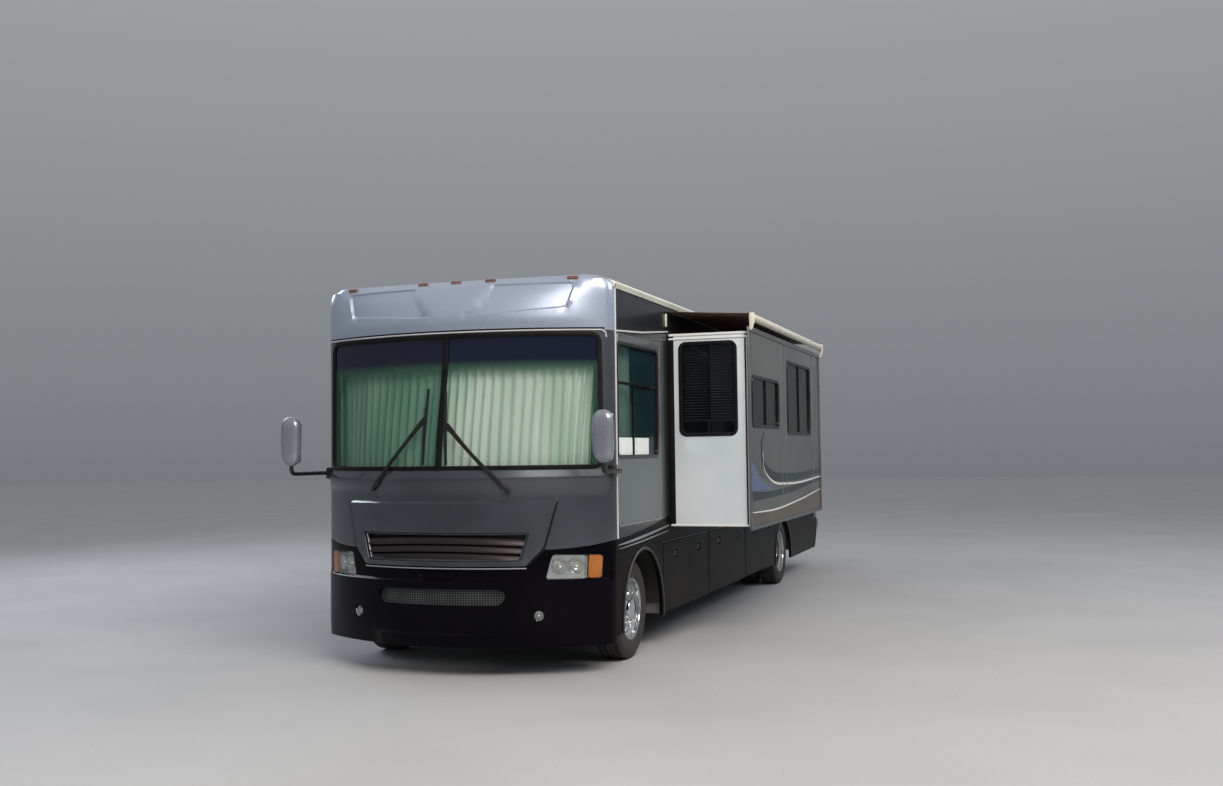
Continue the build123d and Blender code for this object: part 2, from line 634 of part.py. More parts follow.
spring_x = rail_x + 76
spring_width = 60.0
leaf_springs = []
for y in (front_axle_y, rear_axle_y):
    for side in (-1, 1):
        low = tyre_radius - 20 if y == front_axle_y else tyre_radius + 70
        reach = 620 if y == rear_axle_y else 560
        leaf = make_face([
            ThreePointArc((y - reach, low + 90), (y, low), (y + reach, low + 90)),
            Line((y + reach, low + 90), (y + reach, low + 130)),
            ThreePointArc((y + reach, low + 130), (y, low + 40), (y - reach, low + 130)),
            Line((y - reach, low + 130), (y - reach, low + 90)),
        ])
        leaf = extrude(Plane.YZ * leaf, spring_width)
        leaf_springs.append(leaf.moved(Location((side * spring_x - spring_width / 2, 0, 0))))

# Knuckles: a yoke round the kingpin, with the spindle for the hub
knuckle = block(kingpin_x - 55, kingpin_x + 90, front_axle_y - 55, front_axle_y + 55,
                front_axle_z - 150, front_axle_z + 90)
knuckle -= block(kingpin_x - 70, kingpin_x + 48, front_axle_y - 70, front_axle_y + 70,
                 front_axle_z - 111, front_axle_z + 51)
knuckle += Pos(kingpin_x, front_axle_y, front_axle_z - 30) * Cylinder(17, 200)
knuckle += cylinder_x(kingpin_x + 50, 1100, front_axle_y, front_axle_z, spindle_radius)


# Wheels
def tyre(centre_x, y):
    """A radial tyre, its section turned about the axle."""
    w = tyre_width / 2
    section = make_face([
        Line((-w + 22, rim_radius), (w - 22, rim_radius)),
        ThreePointArc((w - 22, rim_radius), (w, rim_radius + 75), (w - 16, tyre_radius - 26)),
        ThreePointArc((w - 16, tyre_radius - 26), (w - 22, tyre_radius - 8), (w - 38, tyre_radius)),
        Line((w - 38, tyre_radius), (-w + 38, tyre_radius)),
        ThreePointArc((-w + 38, tyre_radius), (-w + 22, tyre_radius - 8), (-w + 16, tyre_radius - 26)),
        ThreePointArc((-w + 16, tyre_radius - 26), (-w, rim_radius + 75), (-w + 22, rim_radius)),
    ])
    ring = revolve(section, Axis.X)
    return Pos(centre_x, y, tyre_radius) * ring


def rim(centre_x, y, disc_out, bore):
    """A steel rim: a drop-centre barrel and a dished disc that is bolted at disc_out from the centre."""
    w = tyre_width / 2 - 14
    outside = [(-w, 0), (-w, rim_radius), (-w + 34, rim_radius), (-w + 50, rim_radius - 28)]
    inside = [(-w - 1, 0), (-w - 1, rim_radius - 11), (-w + 30, rim_radius - 11), (-w + 46, rim_radius - 38)]
    solids = []
    for half_line in (outside, inside):
        line = [*half_line, *[(-x, r) for x, r in reversed(half_line)]]
        solids.append(revolve(make_face(Polyline(line, close=True)), Axis.X))
    outer, inner = solids
    lean = math.copysign(1, disc_out)
    dish = revolve(make_face(Polyline([
        (disc_out, bore), (disc_out, 172), (disc_out - 30 * lean, rim_radius), (disc_out - 44 * lean, rim_radius),
        (disc_out - 14 * lean, 166), (disc_out - 14 * lean, bore),
    ], close=True)), Axis.X)
    for hole in range(8):
        angle = math.radians(45 * hole + 22.5)
        dish -= Pos(disc_out, 202 * math.cos(angle), 202 * math.sin(angle)) * Rot(0, 90, 0) * Cylinder(21, 130)
    return Pos(centre_x, y, tyre_radius) * ((outer - inner) + (dish & outer))


hub_gap = 0.1
hub_radius = 95.0
front_tyre = tyre(front_track_half, front_axle_y)
front_rim = rim(front_track_half, front_axle_y, 60, spindle_radius + hub_gap)
front_hub = cylinder_x(front_track_half + 20, front_track_half + 118, front_axle_y, tyre_radius, hub_radius)
front_hub -= cylinder_x(900, 1101, front_axle_y, tyre_radius, spindle_radius + hub_gap)
front_rim += front_hub
inner_x, outer_x = dual_centres_x
rear_tyre_inner = tyre(inner_x, rear_axle_y)
rear_tyre_outer = tyre(outer_x, rear_axle_y)
rear_rim = rim(inner_x, rear_axle_y, 90, spindle_radius + hub_gap)
rear_rim += rim(outer_x, rear_axle_y, -90, spindle_radius + hub_gap)
rear_hub = cylinder_x(inner_x + 85, outer_x + 60, rear_axle_y, tyre_radius, hub_radius)
rear_hub -= cylinder_x(700, 1151, rear_axle_y, tyre_radius, spindle_radius + hub_gap)
rear_rim += rear_hub

# Outside fittings
mirror_x = 1352.0
mirror_y = 75.0
mirror_z = 1845.0
mirror_head = Pos(mirror_x, mirror_y, mirror_z) * Box(170, 110, 410)
mirror_head = fillet(mirror_head.edges().filter_by(Axis.Z), 45)
mirror_head = fillet(mirror_head.edges().group_by(Axis.Z)[-1] + mirror_head.edges().group_by(Axis.Z)[0], 40)
mirror_arm_z = 1580.0
mirror_arm_radius = 17.0
arm_path = FilletPolyline(
    (half - 4, 560, mirror_arm_z), (mirror_x, 470, mirror_arm_z), (mirror_x, mirror_y, mirror_arm_z),
    (mirror_x, mirror_y, mirror_z - 190), radius=40)
mirror_arm = sweep(Plane(origin=arm_path @ 0, z_dir=arm_path % 0) * Circle(mirror_arm_radius), path=arm_path)
mirror_arm += rounded_x(490, 595, mirror_arm_z - 50, mirror_arm_z + 50, half - 60, half + 14, 24)
mirror_arm -= nose_outer
mirrors = pair(mirror_head + mirror_arm)

wiper_x = 585.0
pivot_z = 1450.0
arm_end_z = 1945.0
blade_z = (1643.0, 2230.0)
# Columns: pivot, arm end, foot and head of the blade, across the coach
wiper_sets = (
    (wiper_x, 70.0, 76.0, 33.0),
    (-wiper_x, -136.0, -124.0, -120.0),
)


def bar(start, end, width, depth):
    """A straight bar between two points; depth is measured towards the glass."""
    run = Vector(*end) - Vector(*start)
    middle = (Vector(*end) + Vector(*start)) / 2
    across = Vector(0, 1, 0).cross(run)
    return Plane(origin=middle, x_dir=across, z_dir=run) * Box(width, depth, run.length)


def wiper(pivot_x, tip_x, foot_x, head_x):
    """Pivot, twin arms and blade of one wiper, standing off the glass."""
    parts = []
    for shift_x, shift_z in ((0, 0), (34, 30)):
        shaft_x = pivot_x - math.copysign(shift_x, pivot_x)
        parts.append(cylinder_y(40, 130, shaft_x, pivot_z + shift_z, 14))
        end = (tip_x - math.copysign(shift_x, pivot_x) / 2, 34, arm_end_z + shift_z)
        parts.append(bar((shaft_x, 50, pivot_z + shift_z), end, 16, 12))
    parts.append(bar((foot_x, 10, blade_z[0]), (head_x, 102, blade_z[1]), 16, 18))
    parts.append(block(tip_x - 26, tip_x + 26, 28, 62, arm_end_z - 12, arm_end_z + 42))
    whole = parts[0]
    for solid in parts[1:]:
        whole += solid
    return whole - nose_outer - front_cap


wipers = group(*[wiper(*row) for row in wiper_sets])

# Curtains just inside the cab glass
curtains = []
screen_curtain = (nose_body(70) - nose_body(100)) & block(-1150, 1150, 0, 560, 1560, 2700)
curtains.append(screen_curtain)
for side in (-1, 1):
    x0, x1 = sorted((side * (inner_half - 60), side * (inner_half - 30)))
    curtains.append(block(x0, x1, 680, 1800, 1600, 2700))
curtains = group(*curtains)

# Roof fittings
ac_base = (700.0, 900.0)
ac_top = (560.0, 660.0)
ac_high = 300.0
vent_size = 400.0
roof_seat_z = roof_crown_z - 30


def hood(x, y, base, top, high, edge):
    """A moulded cover on the roof, drawn in towards its top."""
    low = Pos(x, y, roof_seat_z) * RectangleRounded(*base, 70)
    up = Pos(x, y, roof_crown_z + high) * RectangleRounded(*top, 70)
    cover = loft([low, up], ruled=True)
    return fillet(cover.edges().group_by(Axis.Z)[-1], edge) - roof


air_conditioners = [hood(0, y, ac_base, ac_top, ac_high, 40) for y in (2900.0, 7900.0)]
roof_vents = []
for x, y in ((300.0, 4600.0), (-300.0, 6300.0), (250.0, 9000.0)):
    lid = hood(x, y, (vent_size - 30, vent_size - 30), (vent_size - 90, vent_size - 90), 90, 20)
    lid += block(x - vent_size / 2, x + vent_size / 2, y - vent_size / 2, y + vent_size / 2,
                 roof_seat_z, roof_crown_z + 14) - roof
    roof_vents.append(lid)

# Patio awning rolled on the passenger side
awning_z = 2890.0
awning_front_y = 2050.0
awning_rear_y = 7400.0
patio_awning = cylinder_y(awning_front_y, awning_rear_y, -half - 58, awning_z, 52)
for y in (awning_front_y - 40, awning_rear_y):
    patio_awning += block(-half - 100, -half, y, y + 40, awning_z - 60, awning_z + 60)

# Ladder on the rear cap
ladder_x = (-760.0, -400.0)
ladder_y = body_length + 90
ladder_low_z = 840.0
ladder_high_z = 3100.0
ladder_bend = 90.0
ladder_foot_y = 9840.0
rung_pitch = 300.0
ladder = cylinder_x(ladder_x[0], ladder_x[1], ladder_y, ladder_low_z + 140, 12)
for rung in range(1, 7):
    ladder += cylinder_x(ladder_x[0], ladder_x[1], ladder_y, ladder_low_z + 140 + rung_pitch * rung, 12)
for x in ladder_x:
    stile = FilletPolyline(
        (x, ladder_y, ladder_low_z), (x, ladder_y, ladder_high_z + ladder_bend),
        (x, ladder_foot_y, ladder_high_z + ladder_bend), (x, ladder_foot_y, roof_seat_z), radius=ladder_bend - 30)
    ladder += sweep(Plane(origin=stile @ 0, z_dir=stile % 0) * Circle(14), path=stile) - rear_body(0)
    for z in (900.0, 1900.0, 2900.0):
        ladder += cylinder_y(body_length, ladder_y, x, z, 13)

# Cab furniture
dash = nose_body(cap_thick + 12) & block(-1160, 1160, 90, 560, 1330, 1500)
dash += block(-1050, 1050, 460, 560, floor_top_z, 1500)
wheel_x = 620.0
wheel_y = 690.0
wheel_z = 1560.0
wheel_tilt = 35.0
column = Pos(wheel_x, wheel_y, wheel_z) * Rot(-(90 - wheel_tilt), 0, 0)
instrument_hood = block(wheel_x - 190, wheel_x + 190, 380, 560, 1480, 1550)
dash += fillet(instrument_hood.edges().filter_by(Axis.Y), 25)
steering_wheel = column * Torus(215, 15)
steering_wheel += column * Cylinder(60, 40)
for spoke in (0, 120, 240):
    steering_wheel += column * Rot(0, 0, spoke) * Pos(110, 0, 0) * Box(220, 34, 14)

dash += column * Pos(0, 0, -125) * Cylinder(28, 200)


seat_half = 265.0
seat_y = (960.0, 1490.0)
seat_top_z = floor_top_z + 450
back_high = 720.0
back_thick = 140.0
back_lean = 12.0


def cab_seat(x):
    """A captain's chair: pedestal, cushion, leaning back with a head rest, and arms."""
    seat = block(x - 180, x + 180, 1060, 1420, floor_top_z, floor_top_z + 310)
    cushion = block(x - seat_half, x + seat_half, *seat_y, floor_top_z + 300, seat_top_z)
    seat += fillet(cushion.edges(), 50)
    lean = Pos(x, seat_y[1] - 20, seat_top_z - 60) * Rot(-back_lean, 0, 0)
    back = Pos(0, 0, back_high / 2) * Box(2 * seat_half, back_thick, back_high)
    rest = Pos(0, 0, back_high + 60) * Box(300, 110, 200)
    seat += lean * fillet(back.edges(), 50)
    seat += lean * fillet(rest.edges(), 40)
    for side in (-1, 1):
        arm = block(x + side * 195, x + side * (seat_half - 5), 1080, seat_y[1] - 10,
                    seat_top_z + 180, seat_top_z + 240)
        seat += fillet(arm.edges(), 20)
    return seat


# Pieces that are written out, by node name
nodes = {
    "front_cap": front_cap,
    "front_bumper": front_bumper,
    "windscreen": windscreen,
    "grilles": group(grille, intake_mesh, bright_bar),
    "front_lamps": group(*headlights, *fog_lamps),
    "floor": floor,
    "left_wall": left_wall,
    "right_wall": right_wall,
    "roof": roof,
    "rear_cap": rear_cap,
    "rear_bumper": rear_bumper,
    "tail_lights": group(*tail_lights),
    "skirts": group(left_skirt, right_skirt),
    "storage_bays": group(left_bays, right_bays),
    "wheel_wells": wheel_wells,
    "entry_steps": step_well,
    "window_frames": group(*left_frames, *right_frames),
    "window_panes": group(*left_panes, *right_panes),
    "entry_door": entry_door,
    "entry_door_glass": entry_door_glass,
    "slide_room": slide_room,
    "slide_window_frames": group(*slide_frames),
    "slide_window_panes": group(*slide_panes),
    "topper_roller": topper_roller,
    "topper_fabric": topper_fabric,
    "chassis_frame": chassis,
    "engine": engine,
    "driveshaft": driveshaft,
    "fuel_tank": fuel_tank,
    "exhaust": exhaust,
    "front_axle": front_axle,
    "rear_axle": rear_axle,
    "leaf_springs": group(*leaf_springs),
    "left_knuckle": knuckle,
    "right_knuckle": mirrored(knuckle),
    "left_front_tyre": front_tyre,
    "right_front_tyre": mirrored(front_tyre),
    "left_front_rim": front_rim,
    "right_front_rim": mirrored(front_rim),
    "left_rear_tyres": group(rear_tyre_inner, rear_tyre_outer),
    "right_rear_tyres": group(mirrored(rear_tyre_inner), mirrored(rear_tyre_outer)),
    "left_rear_rims": rear_rim,
    "right_rear_rims": mirrored(rear_rim),
    "mirrors": mirrors,
    "wipers": wipers,
    "roof_units": group(*air_conditioners, *roof_vents),
    "patio_awning": patio_awning,
    "ladder": ladder,
    "dash": dash,
    "steering_wheel": steering_wheel,
    "cab_seats": group(cab_seat(620), cab_seat(-620)),
    "curtains": curtains,
}
for index, (door_row, solid) in enumerate(zip(bay_doors, bay_solids)):
    side_name = "left" if door_row[0] > 0 else "right"
    nodes[f"{side_name}_bay_door_{index % 3 + 1}"] = solid

# The coach is written with its bounding box centred on X = 0 and Y = 0
boxes = [shape.bounding_box() for shape in nodes.values()]
mid_x = (min(box.min.X for box in boxes) + max(box.max.X for box in boxes)) / 2
mid_y = (min(box.min.Y for box in boxes) + max(box.max.Y for box in boxes)) / 2
shift = Location((-mid_x, -mid_y, 0))
print("shift", mid_x, mid_y)
for name, shape in nodes.items():
    export_step(shape.moved(shift), f"parts/{name}.step")
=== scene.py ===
import math
import bpy
import bmesh
import numpy as np
from mathutils import Matrix, Vector
from mathutils.geometry import delaunay_2d_cdt


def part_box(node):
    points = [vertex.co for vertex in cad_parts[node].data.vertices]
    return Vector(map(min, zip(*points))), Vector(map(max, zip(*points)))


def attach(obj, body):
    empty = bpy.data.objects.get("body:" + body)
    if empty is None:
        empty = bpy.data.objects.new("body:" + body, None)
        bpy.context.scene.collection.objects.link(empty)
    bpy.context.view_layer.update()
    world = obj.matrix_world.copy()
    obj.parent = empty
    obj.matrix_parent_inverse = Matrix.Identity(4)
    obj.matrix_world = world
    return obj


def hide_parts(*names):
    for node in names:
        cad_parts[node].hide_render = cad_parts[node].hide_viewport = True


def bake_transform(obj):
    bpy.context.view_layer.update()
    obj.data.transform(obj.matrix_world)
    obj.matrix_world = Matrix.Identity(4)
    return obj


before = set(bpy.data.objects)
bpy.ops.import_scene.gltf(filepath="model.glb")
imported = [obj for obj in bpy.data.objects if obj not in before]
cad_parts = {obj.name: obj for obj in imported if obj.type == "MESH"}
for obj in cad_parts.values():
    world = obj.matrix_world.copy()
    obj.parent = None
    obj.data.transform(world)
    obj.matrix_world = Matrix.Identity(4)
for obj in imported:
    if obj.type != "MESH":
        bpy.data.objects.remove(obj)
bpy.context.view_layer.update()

# Painted front cap: one hand-laid fibreglass moulding with a bowed face, a raised bonnet panel
# with a grille opening, and a brow with a pressed recess over the windscreen. It is sprayed in
# charcoal metallic with a clear coat, the brow one shade lighter, and bonded to the walls.
half, seam_y = 1275.0, 600.0
wall_low, wall_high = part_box("left_wall")
origin = np.array([wall_high.x * 1000 - half, wall_low.y * 1000 - seam_y, 0.0])


def srgb(code):
    """Linear RGBA of an sRGB hex colour."""
    parts = [int(code[i:i + 2], 16) / 255 for i in (1, 3, 5)]
    return [p / 12.92 if p <= 0.04045 else ((p + 0.055) / 1.055) ** 2.4 for p in parts] + [1.0]


def add(tree, kind, inputs=None, **settings):
    """Adds a node, sets its settings, and sets or links its inputs."""
    made = tree.nodes.new(kind)
    for key, value in settings.items():
        setattr(made, key, value)
    for key, value in (inputs or {}).items():
        if isinstance(value, bpy.types.NodeSocket):
            tree.links.new(value, made.inputs[key])
        else:
            made.inputs[key].default_value = value
    return made


def finish(name, low, high, patch, grain, rough, bump=0.0, stretch=(1, 1, 1), coat=None, specular=None, **shader):
    """A colour that drifts in patches, with roughness and bump that follow a grain, in millimetres."""
    if coat:
        shader.update({"Coat Weight": coat[0], "Coat Roughness": coat[1]})
    if specular:
        shader["Specular IOR Level"] = specular
    material = bpy.data.materials.new(name)
    material.use_nodes = True
    tree = material.node_tree
    tree.nodes.clear()
    place = add(tree, "ShaderNodeTexCoord").outputs["Object"]
    place = add(tree, "ShaderNodeMapping", {"Vector": place, "Scale": stretch}).outputs["Vector"]
    drift = add(tree, "ShaderNodeTexNoise", {"Vector": place, "Scale": 1000 / patch, "Detail": 3.0})
    ramp = add(tree, "ShaderNodeValToRGB", {"Fac": drift.outputs["Fac"]})
    for stop, at, code in zip(ramp.color_ramp.elements, (0.35, 0.65), (low, high)):
        stop.position, stop.color = at, srgb(code)
    fine = add(tree, "ShaderNodeTexNoise", {"Vector": place, "Scale": 1000 / grain, "Detail": 2.0})
    spread = add(tree, "ShaderNodeMapRange", {
        "Value": fine.outputs["Fac"], "From Min": 0.3, "From Max": 0.7,
        "To Min": rough * 0.8, "To Max": min(1.0, rough * 1.2)})
    body = add(tree, "ShaderNodeBsdfPrincipled", {
        "Base Color": ramp.outputs["Color"], "Roughness": spread.outputs["Result"], **shader})
    if bump:
        push = add(tree, "ShaderNodeBump", {
            "Height": fine.outputs["Fac"], "Strength": 1.0, "Distance": bump / 1000})
        tree.links.new(push.outputs["Normal"], body.inputs["Normal"])
    add(tree, "ShaderNodeOutputMaterial", {"Surface": body.outputs["BSDF"]})
    return material


def paint_zone(material, code, start, end, alpha=None):
    """Another colour over a finish above a height, from start metres and full at end."""
    tree = material.node_tree
    body = tree.nodes["Principled BSDF"]
    place = add(tree, "ShaderNodeTexCoord").outputs["Object"]
    height = add(tree, "ShaderNodeSeparateXYZ", {"Vector": place}).outputs["Z"]
    mask = add(tree, "ShaderNodeMapRange", {"Value": height, "From Min": start, "From Max": end}).outputs["Result"]
    below = body.inputs["Base Color"].links[0].from_socket
    mix = add(tree, "ShaderNodeMix", {"Factor": mask, 6: below, 7: srgb(code)}, data_type="RGBA")
    tree.links.new(mix.outputs[2], body.inputs["Base Color"])
    if alpha is not None:
        veil = add(tree, "ShaderNodeMapRange", {
            "Value": mask, "To Min": body.inputs["Alpha"].default_value, "To Max": alpha})
        tree.links.new(veil.outputs["Result"], body.inputs["Alpha"])


def join(*shapes):
    """Several shapes as one."""
    verts, faces = [], []
    for points, polygons in shapes:
        start = len(verts)
        verts.extend(tuple(map(float, p)) for p in points)
        faces.extend(tuple(start + i for i in polygon) for polygon in polygons)
    return verts, faces


def flip(shape):
    """The same shape on the other side of the coach."""
    return [(-x, y, z) for x, y, z in shape[0]], [tuple(reversed(f)) for f in shape[1]]


def pair(*shapes):
    """Shapes and their mirror images, as one."""
    one = join(*shapes)
    return join(one, flip(one))


def piece(name, slot, material, *shapes, node=None, body="coach", crease=32.0):
    """A finished object made of shapes in vehicle millimetres, riding on its body."""
    verts, faces = join(*shapes)
    mesh = bpy.data.meshes.new(name)
    mesh.from_pydata(((np.array(verts) + origin) / 1000).tolist(), [], faces)
    clean = bmesh.new()
    clean.from_mesh(mesh)
    bmesh.ops.remove_doubles(clean, verts=clean.verts, dist=2e-5)
    bmesh.ops.dissolve_degenerate(clean, dist=1e-6, edges=clean.edges)
    bmesh.ops.recalc_face_normals(clean, faces=clean.faces)
    clean.to_mesh(mesh)
    clean.free()
    mesh.shade_smooth()
    mesh.set_sharp_from_angle(angle=math.radians(crease))
    made = bpy.data.objects.new(name, mesh)
    mesh.materials.append(material)
    bpy.context.scene.collection.objects.link(made)
    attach(made, body)
    if node:
        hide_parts(node)
    return made


def turned(shape, matrix):
    """A shape through a 4 x 4 matrix, in millimetres."""
    return [tuple(matrix @ Vector(p)) for p in shape[0]], shape[1]


def unit(steps):
    return steps / np.maximum(np.linalg.norm(steps, axis=1), 1e-9)[:, None]


def square_to(steps):
    """Unit vectors on the left of a flat line's steps."""
    run = unit(steps)
    return np.c_[-run[:, 1], run[:, 0]]


def dense(path, pitch, closed=True):
    """A path with points added so that none is further than pitch from the next."""
    path = [np.asarray(p, float) for p in path]
    out = []
    for start, end in zip(path, path[1:] + path[:1] if closed else path[1:]):
        count = max(1, math.ceil(np.linalg.norm(end - start) / pitch))
        out.extend(start + (end - start) * k / count for k in range(count))
    return out if closed else [*out, path[-1]]


def rounded(corners, radius, steps=5):
    """A closed outline with its corners rounded."""
    out = []
    for i, corner in enumerate(corners):
        tip = np.asarray(corner, float)
        arms = [np.asarray(corners[(i + k) % len(corners)], float) - tip for k in (-1, 1)]
        reach = [np.linalg.norm(arm) for arm in arms]
        cut = min(radius, 0.48 * reach[0], 0.48 * reach[1])
        start, end = [tip + arm / length * cut for arm, length in zip(arms, reach)]
        pull = 0.25 * (start + end) / 2 + 0.75 * tip
        for t in np.linspace(0, 1, steps + 1):
            out.append((1 - t) ** 2 * start + 2 * t * (1 - t) * pull + t ** 2 * end)
    return out


def rect(u0, u1, v0, v1):
    return [(u0, v0), (u1, v0), (u1, v1), (u0, v1)]


def circle(radius, at=(0.0, 0.0), count=64):
    return [(at[0] + radius * math.cos(t), at[1] + radius * math.sin(t))
            for t in np.linspace(0, 2 * math.pi, count, endpoint=False)]


def counter(ring):
    """A ring as an array, counter-clockwise."""
    ring = np.asarray(ring, float)
    following = np.roll(ring, -1, 0)
    area = (ring[:, 0] * following[:, 1] - following[:, 0] * ring[:, 1]).sum()
    return ring if area > 0 else ring[::-1]


def inset(ring, distance):
    """A counter-clockwise ring moved inwards."""
    normal = square_to(np.roll(ring, -1, 0) - ring)
    before = np.roll(normal, 1, 0)
    share = np.maximum(1 + (normal * before).sum(1), 0.3)
    return ring + distance * (normal + before) / share[:, None]


def gap_to(points, rings):
    """Distance from each point to the nearest edge of any ring."""
    best = np.full(len(points), 1e9)
    for ring in rings:
        for start, end in zip(ring, np.roll(ring, -1, 0)):
            run = end - start
            t = np.clip(((points - start) @ run) / max(run @ run, 1e-9), 0, 1)
            best = np.minimum(best, np.linalg.norm(points - start - t[:, None] * run, axis=1))
    return best


def inside(points, ring):
    """Which points lie inside a ring."""
    hit = np.zeros(len(points), bool)
    for (x0, y0), (x1, y1) in zip(ring, np.roll(ring, -1, 0)):
        if y0 != y1:
            crosses = (points[:, 1] > y0) != (points[:, 1] > y1)
            hit ^= crosses & (points[:, 0] < (x1 - x0) * (points[:, 1] - y0) / (y1 - y0) + x0)
    return hit


def weave(rows, columns, ring=False, tube_like=False, ends=False):
    """Faces over a grid of points numbered row by row: a ring's last row meets its first, a tube's rows close."""
    faces = []
    for i in range(rows if ring else rows - 1):
        a, b = i * columns, (i + 1) % rows * columns
        for j in range(columns if tube_like else columns - 1):
            k = (j + 1) % columns
            faces.append((a + j, a + k, b + k, b + j))
    if ends:
        faces += [tuple(range(columns)), tuple(range((rows - 1) * columns, rows * columns))]
    return faces


def sheet(front, back, faces):
    """A closed thin sheet from two layers of points that share their faces."""
    count = len(front)
    sides = dict.fromkeys((face[k - 1], face[k]) for face in faces for k in range(len(face)))
    rim = [(a, b, b + count, a + count) for a, b in sides if (b, a) not in sides]
    return [*front, *back], [*faces, *[tuple(i + count for i in face) for face in faces], *rim]


def panel(surface, outline, holes=(), pitch=45.0, thick=4.0, edge=3.0, folds=(), relief=None, depth=0.0):
    """A sheet that lies on a surface, cut to an outline with holes, its edges rolled over by edge."""
    rings = [counter(ring) for ring in (outline, *holes)]
    loops = list(rings)
    for reach in (edge * 0.3, edge, edge * 1.7) if edge else ():
        loops += [inset(ring, -reach if i else reach) for i, ring in enumerate(rings)]
    loops += [np.asarray(fold, float) for fold in folds]

    def covered(points):
        hits = [inside(points, ring) for ring in rings]
        return hits[0] & ~np.any(hits[1:], 0)

    columns, rows = [np.arange(low + pitch / 2, high, pitch) for low, high in zip(rings[0].min(0), rings[0].max(0))]
    grid = np.stack(np.meshgrid(columns, rows), -1).reshape(-1, 2)
    grid = grid[covered(grid)]
    points, wires = list(grid[gap_to(grid, loops) > pitch * 0.4]), []
    for loop in loops:
        start = len(points)
        points += list(loop)
        wires += [(start + i, start + (i + 1) % len(loop)) for i in range(len(loop))]
    found = delaunay_2d_cdt([Vector(p) for p in points], wires, [], 0, 1e-4)
    flat = np.array([tuple(p) for p in found[0]])
    tris = np.array([f for f in found[2] if len(f) == 3])
    used, tris = np.unique(tris[covered(flat[tris].mean(1))], return_inverse=True)
    flat = flat[used]
    drop = depth
    if edge:
        away = np.minimum(gap_to(flat, rings), edge)
        drop = depth + edge - np.sqrt(edge ** 2 - (edge - away) ** 2)
    lift = relief(*flat.T) if relief else 0.0
    return sheet(surface(*flat.T, drop - lift), surface(*flat.T, depth + thick - lift), tris.reshape(-1, 3).tolist())


def strip(surface, path, section, closed=False):
    """A bar of the given section (across, out of the surface) that follows a path on a surface."""
    path = np.asarray(path, float)
    base = surface(*path.T, 0.0)
    up = unit(base - surface(*path.T, 10.0))
    along = np.roll(base, -1, 0) - np.roll(base, 1, 0) if closed else np.gradient(base, axis=0)
    side = unit(np.cross(along, up))
    verts = [p + a * s + h * n for p, s, n in zip(base, side, up) for a, h in section]
    return verts, weave(len(path), len(section), closed, True, not closed)


def bead(width, height, low=-0.5):
    """The section of a strip with a rounded back."""
    w = width / 2
    return [(-w, low), (w, low), (w, height * 0.55), (w * 0.6, height), (-w * 0.6, height), (-w, height * 0.55)]


def prism(outline, plane, low, high, edge=2.0, segments=2):
    """An outline pushed along the third axis, its sharp edges rounded."""
    order = [plane.find(axis) for axis in "xyz"]
    solid = bmesh.new()
    rings = []
    for level in (low, high):
        rings.append([solid.verts.new([(*point, level)[k] for k in order]) for point in outline])
        solid.faces.new(rings[-1])
    for i in range(len(outline)):
        solid.faces.new((rings[0][i - 1], rings[0][i], rings[1][i], rings[1][i - 1]))
    bmesh.ops.recalc_face_normals(solid, faces=solid.faces)
    if edge:
        sharp = [e for e in solid.edges if e.calc_face_angle(0) > 0.5]
        bmesh.ops.bevel(solid, geom=sharp, offset=edge, segments=segments, profile=0.5, affect="EDGES")
    solid.verts.index_update()
    shape = [tuple(v.co) for v in solid.verts], [tuple(v.index for v in f.verts) for f in solid.faces]
    solid.free()
    return shape


def box(x0, x1, y0, y1, z0, z1, edge=2.0, segments=2):
    return prism(rect(x0, x1, y0, y1), "xy", z0, z1, edge, segments)


def lathe(profile, centre=(0, 0, 0), axis="z", steps=48, closed=False):
    """A profile of (along, radius) points turned about an axis through centre."""
    shift = "xyz".index(axis)
    verts = []
    for angle in np.arange(steps) * 2 * math.pi / steps:
        for reach, radius in profile:
            spot = (reach, radius * math.cos(angle), radius * math.sin(angle))
            verts.append([centre[k] + spot[k - shift] for k in range(3)])
    return verts, weave(steps, len(profile), True, closed)


def tube(path, radius, sides=12, closed=False):
    """A round bar along points in space."""
    path = [Vector(p) for p in path]
    ring = [path[-1], *path, path[0]] if closed else [path[0], *path, path[-1]]
    verts, lead = [], None
    for before, point, after in zip(ring, path, ring[2:]):
        along = (after - before).normalized()
        lead = along.orthogonal() if lead is None else lead
        lead = (lead - lead.dot(along) * along).normalized()
        for angle in np.arange(sides) * 2 * math.pi / sides:
            verts.append(point + radius * (math.cos(angle) * lead + math.sin(angle) * along.cross(lead)))
    return verts, weave(len(path), sides, closed, True, not closed)


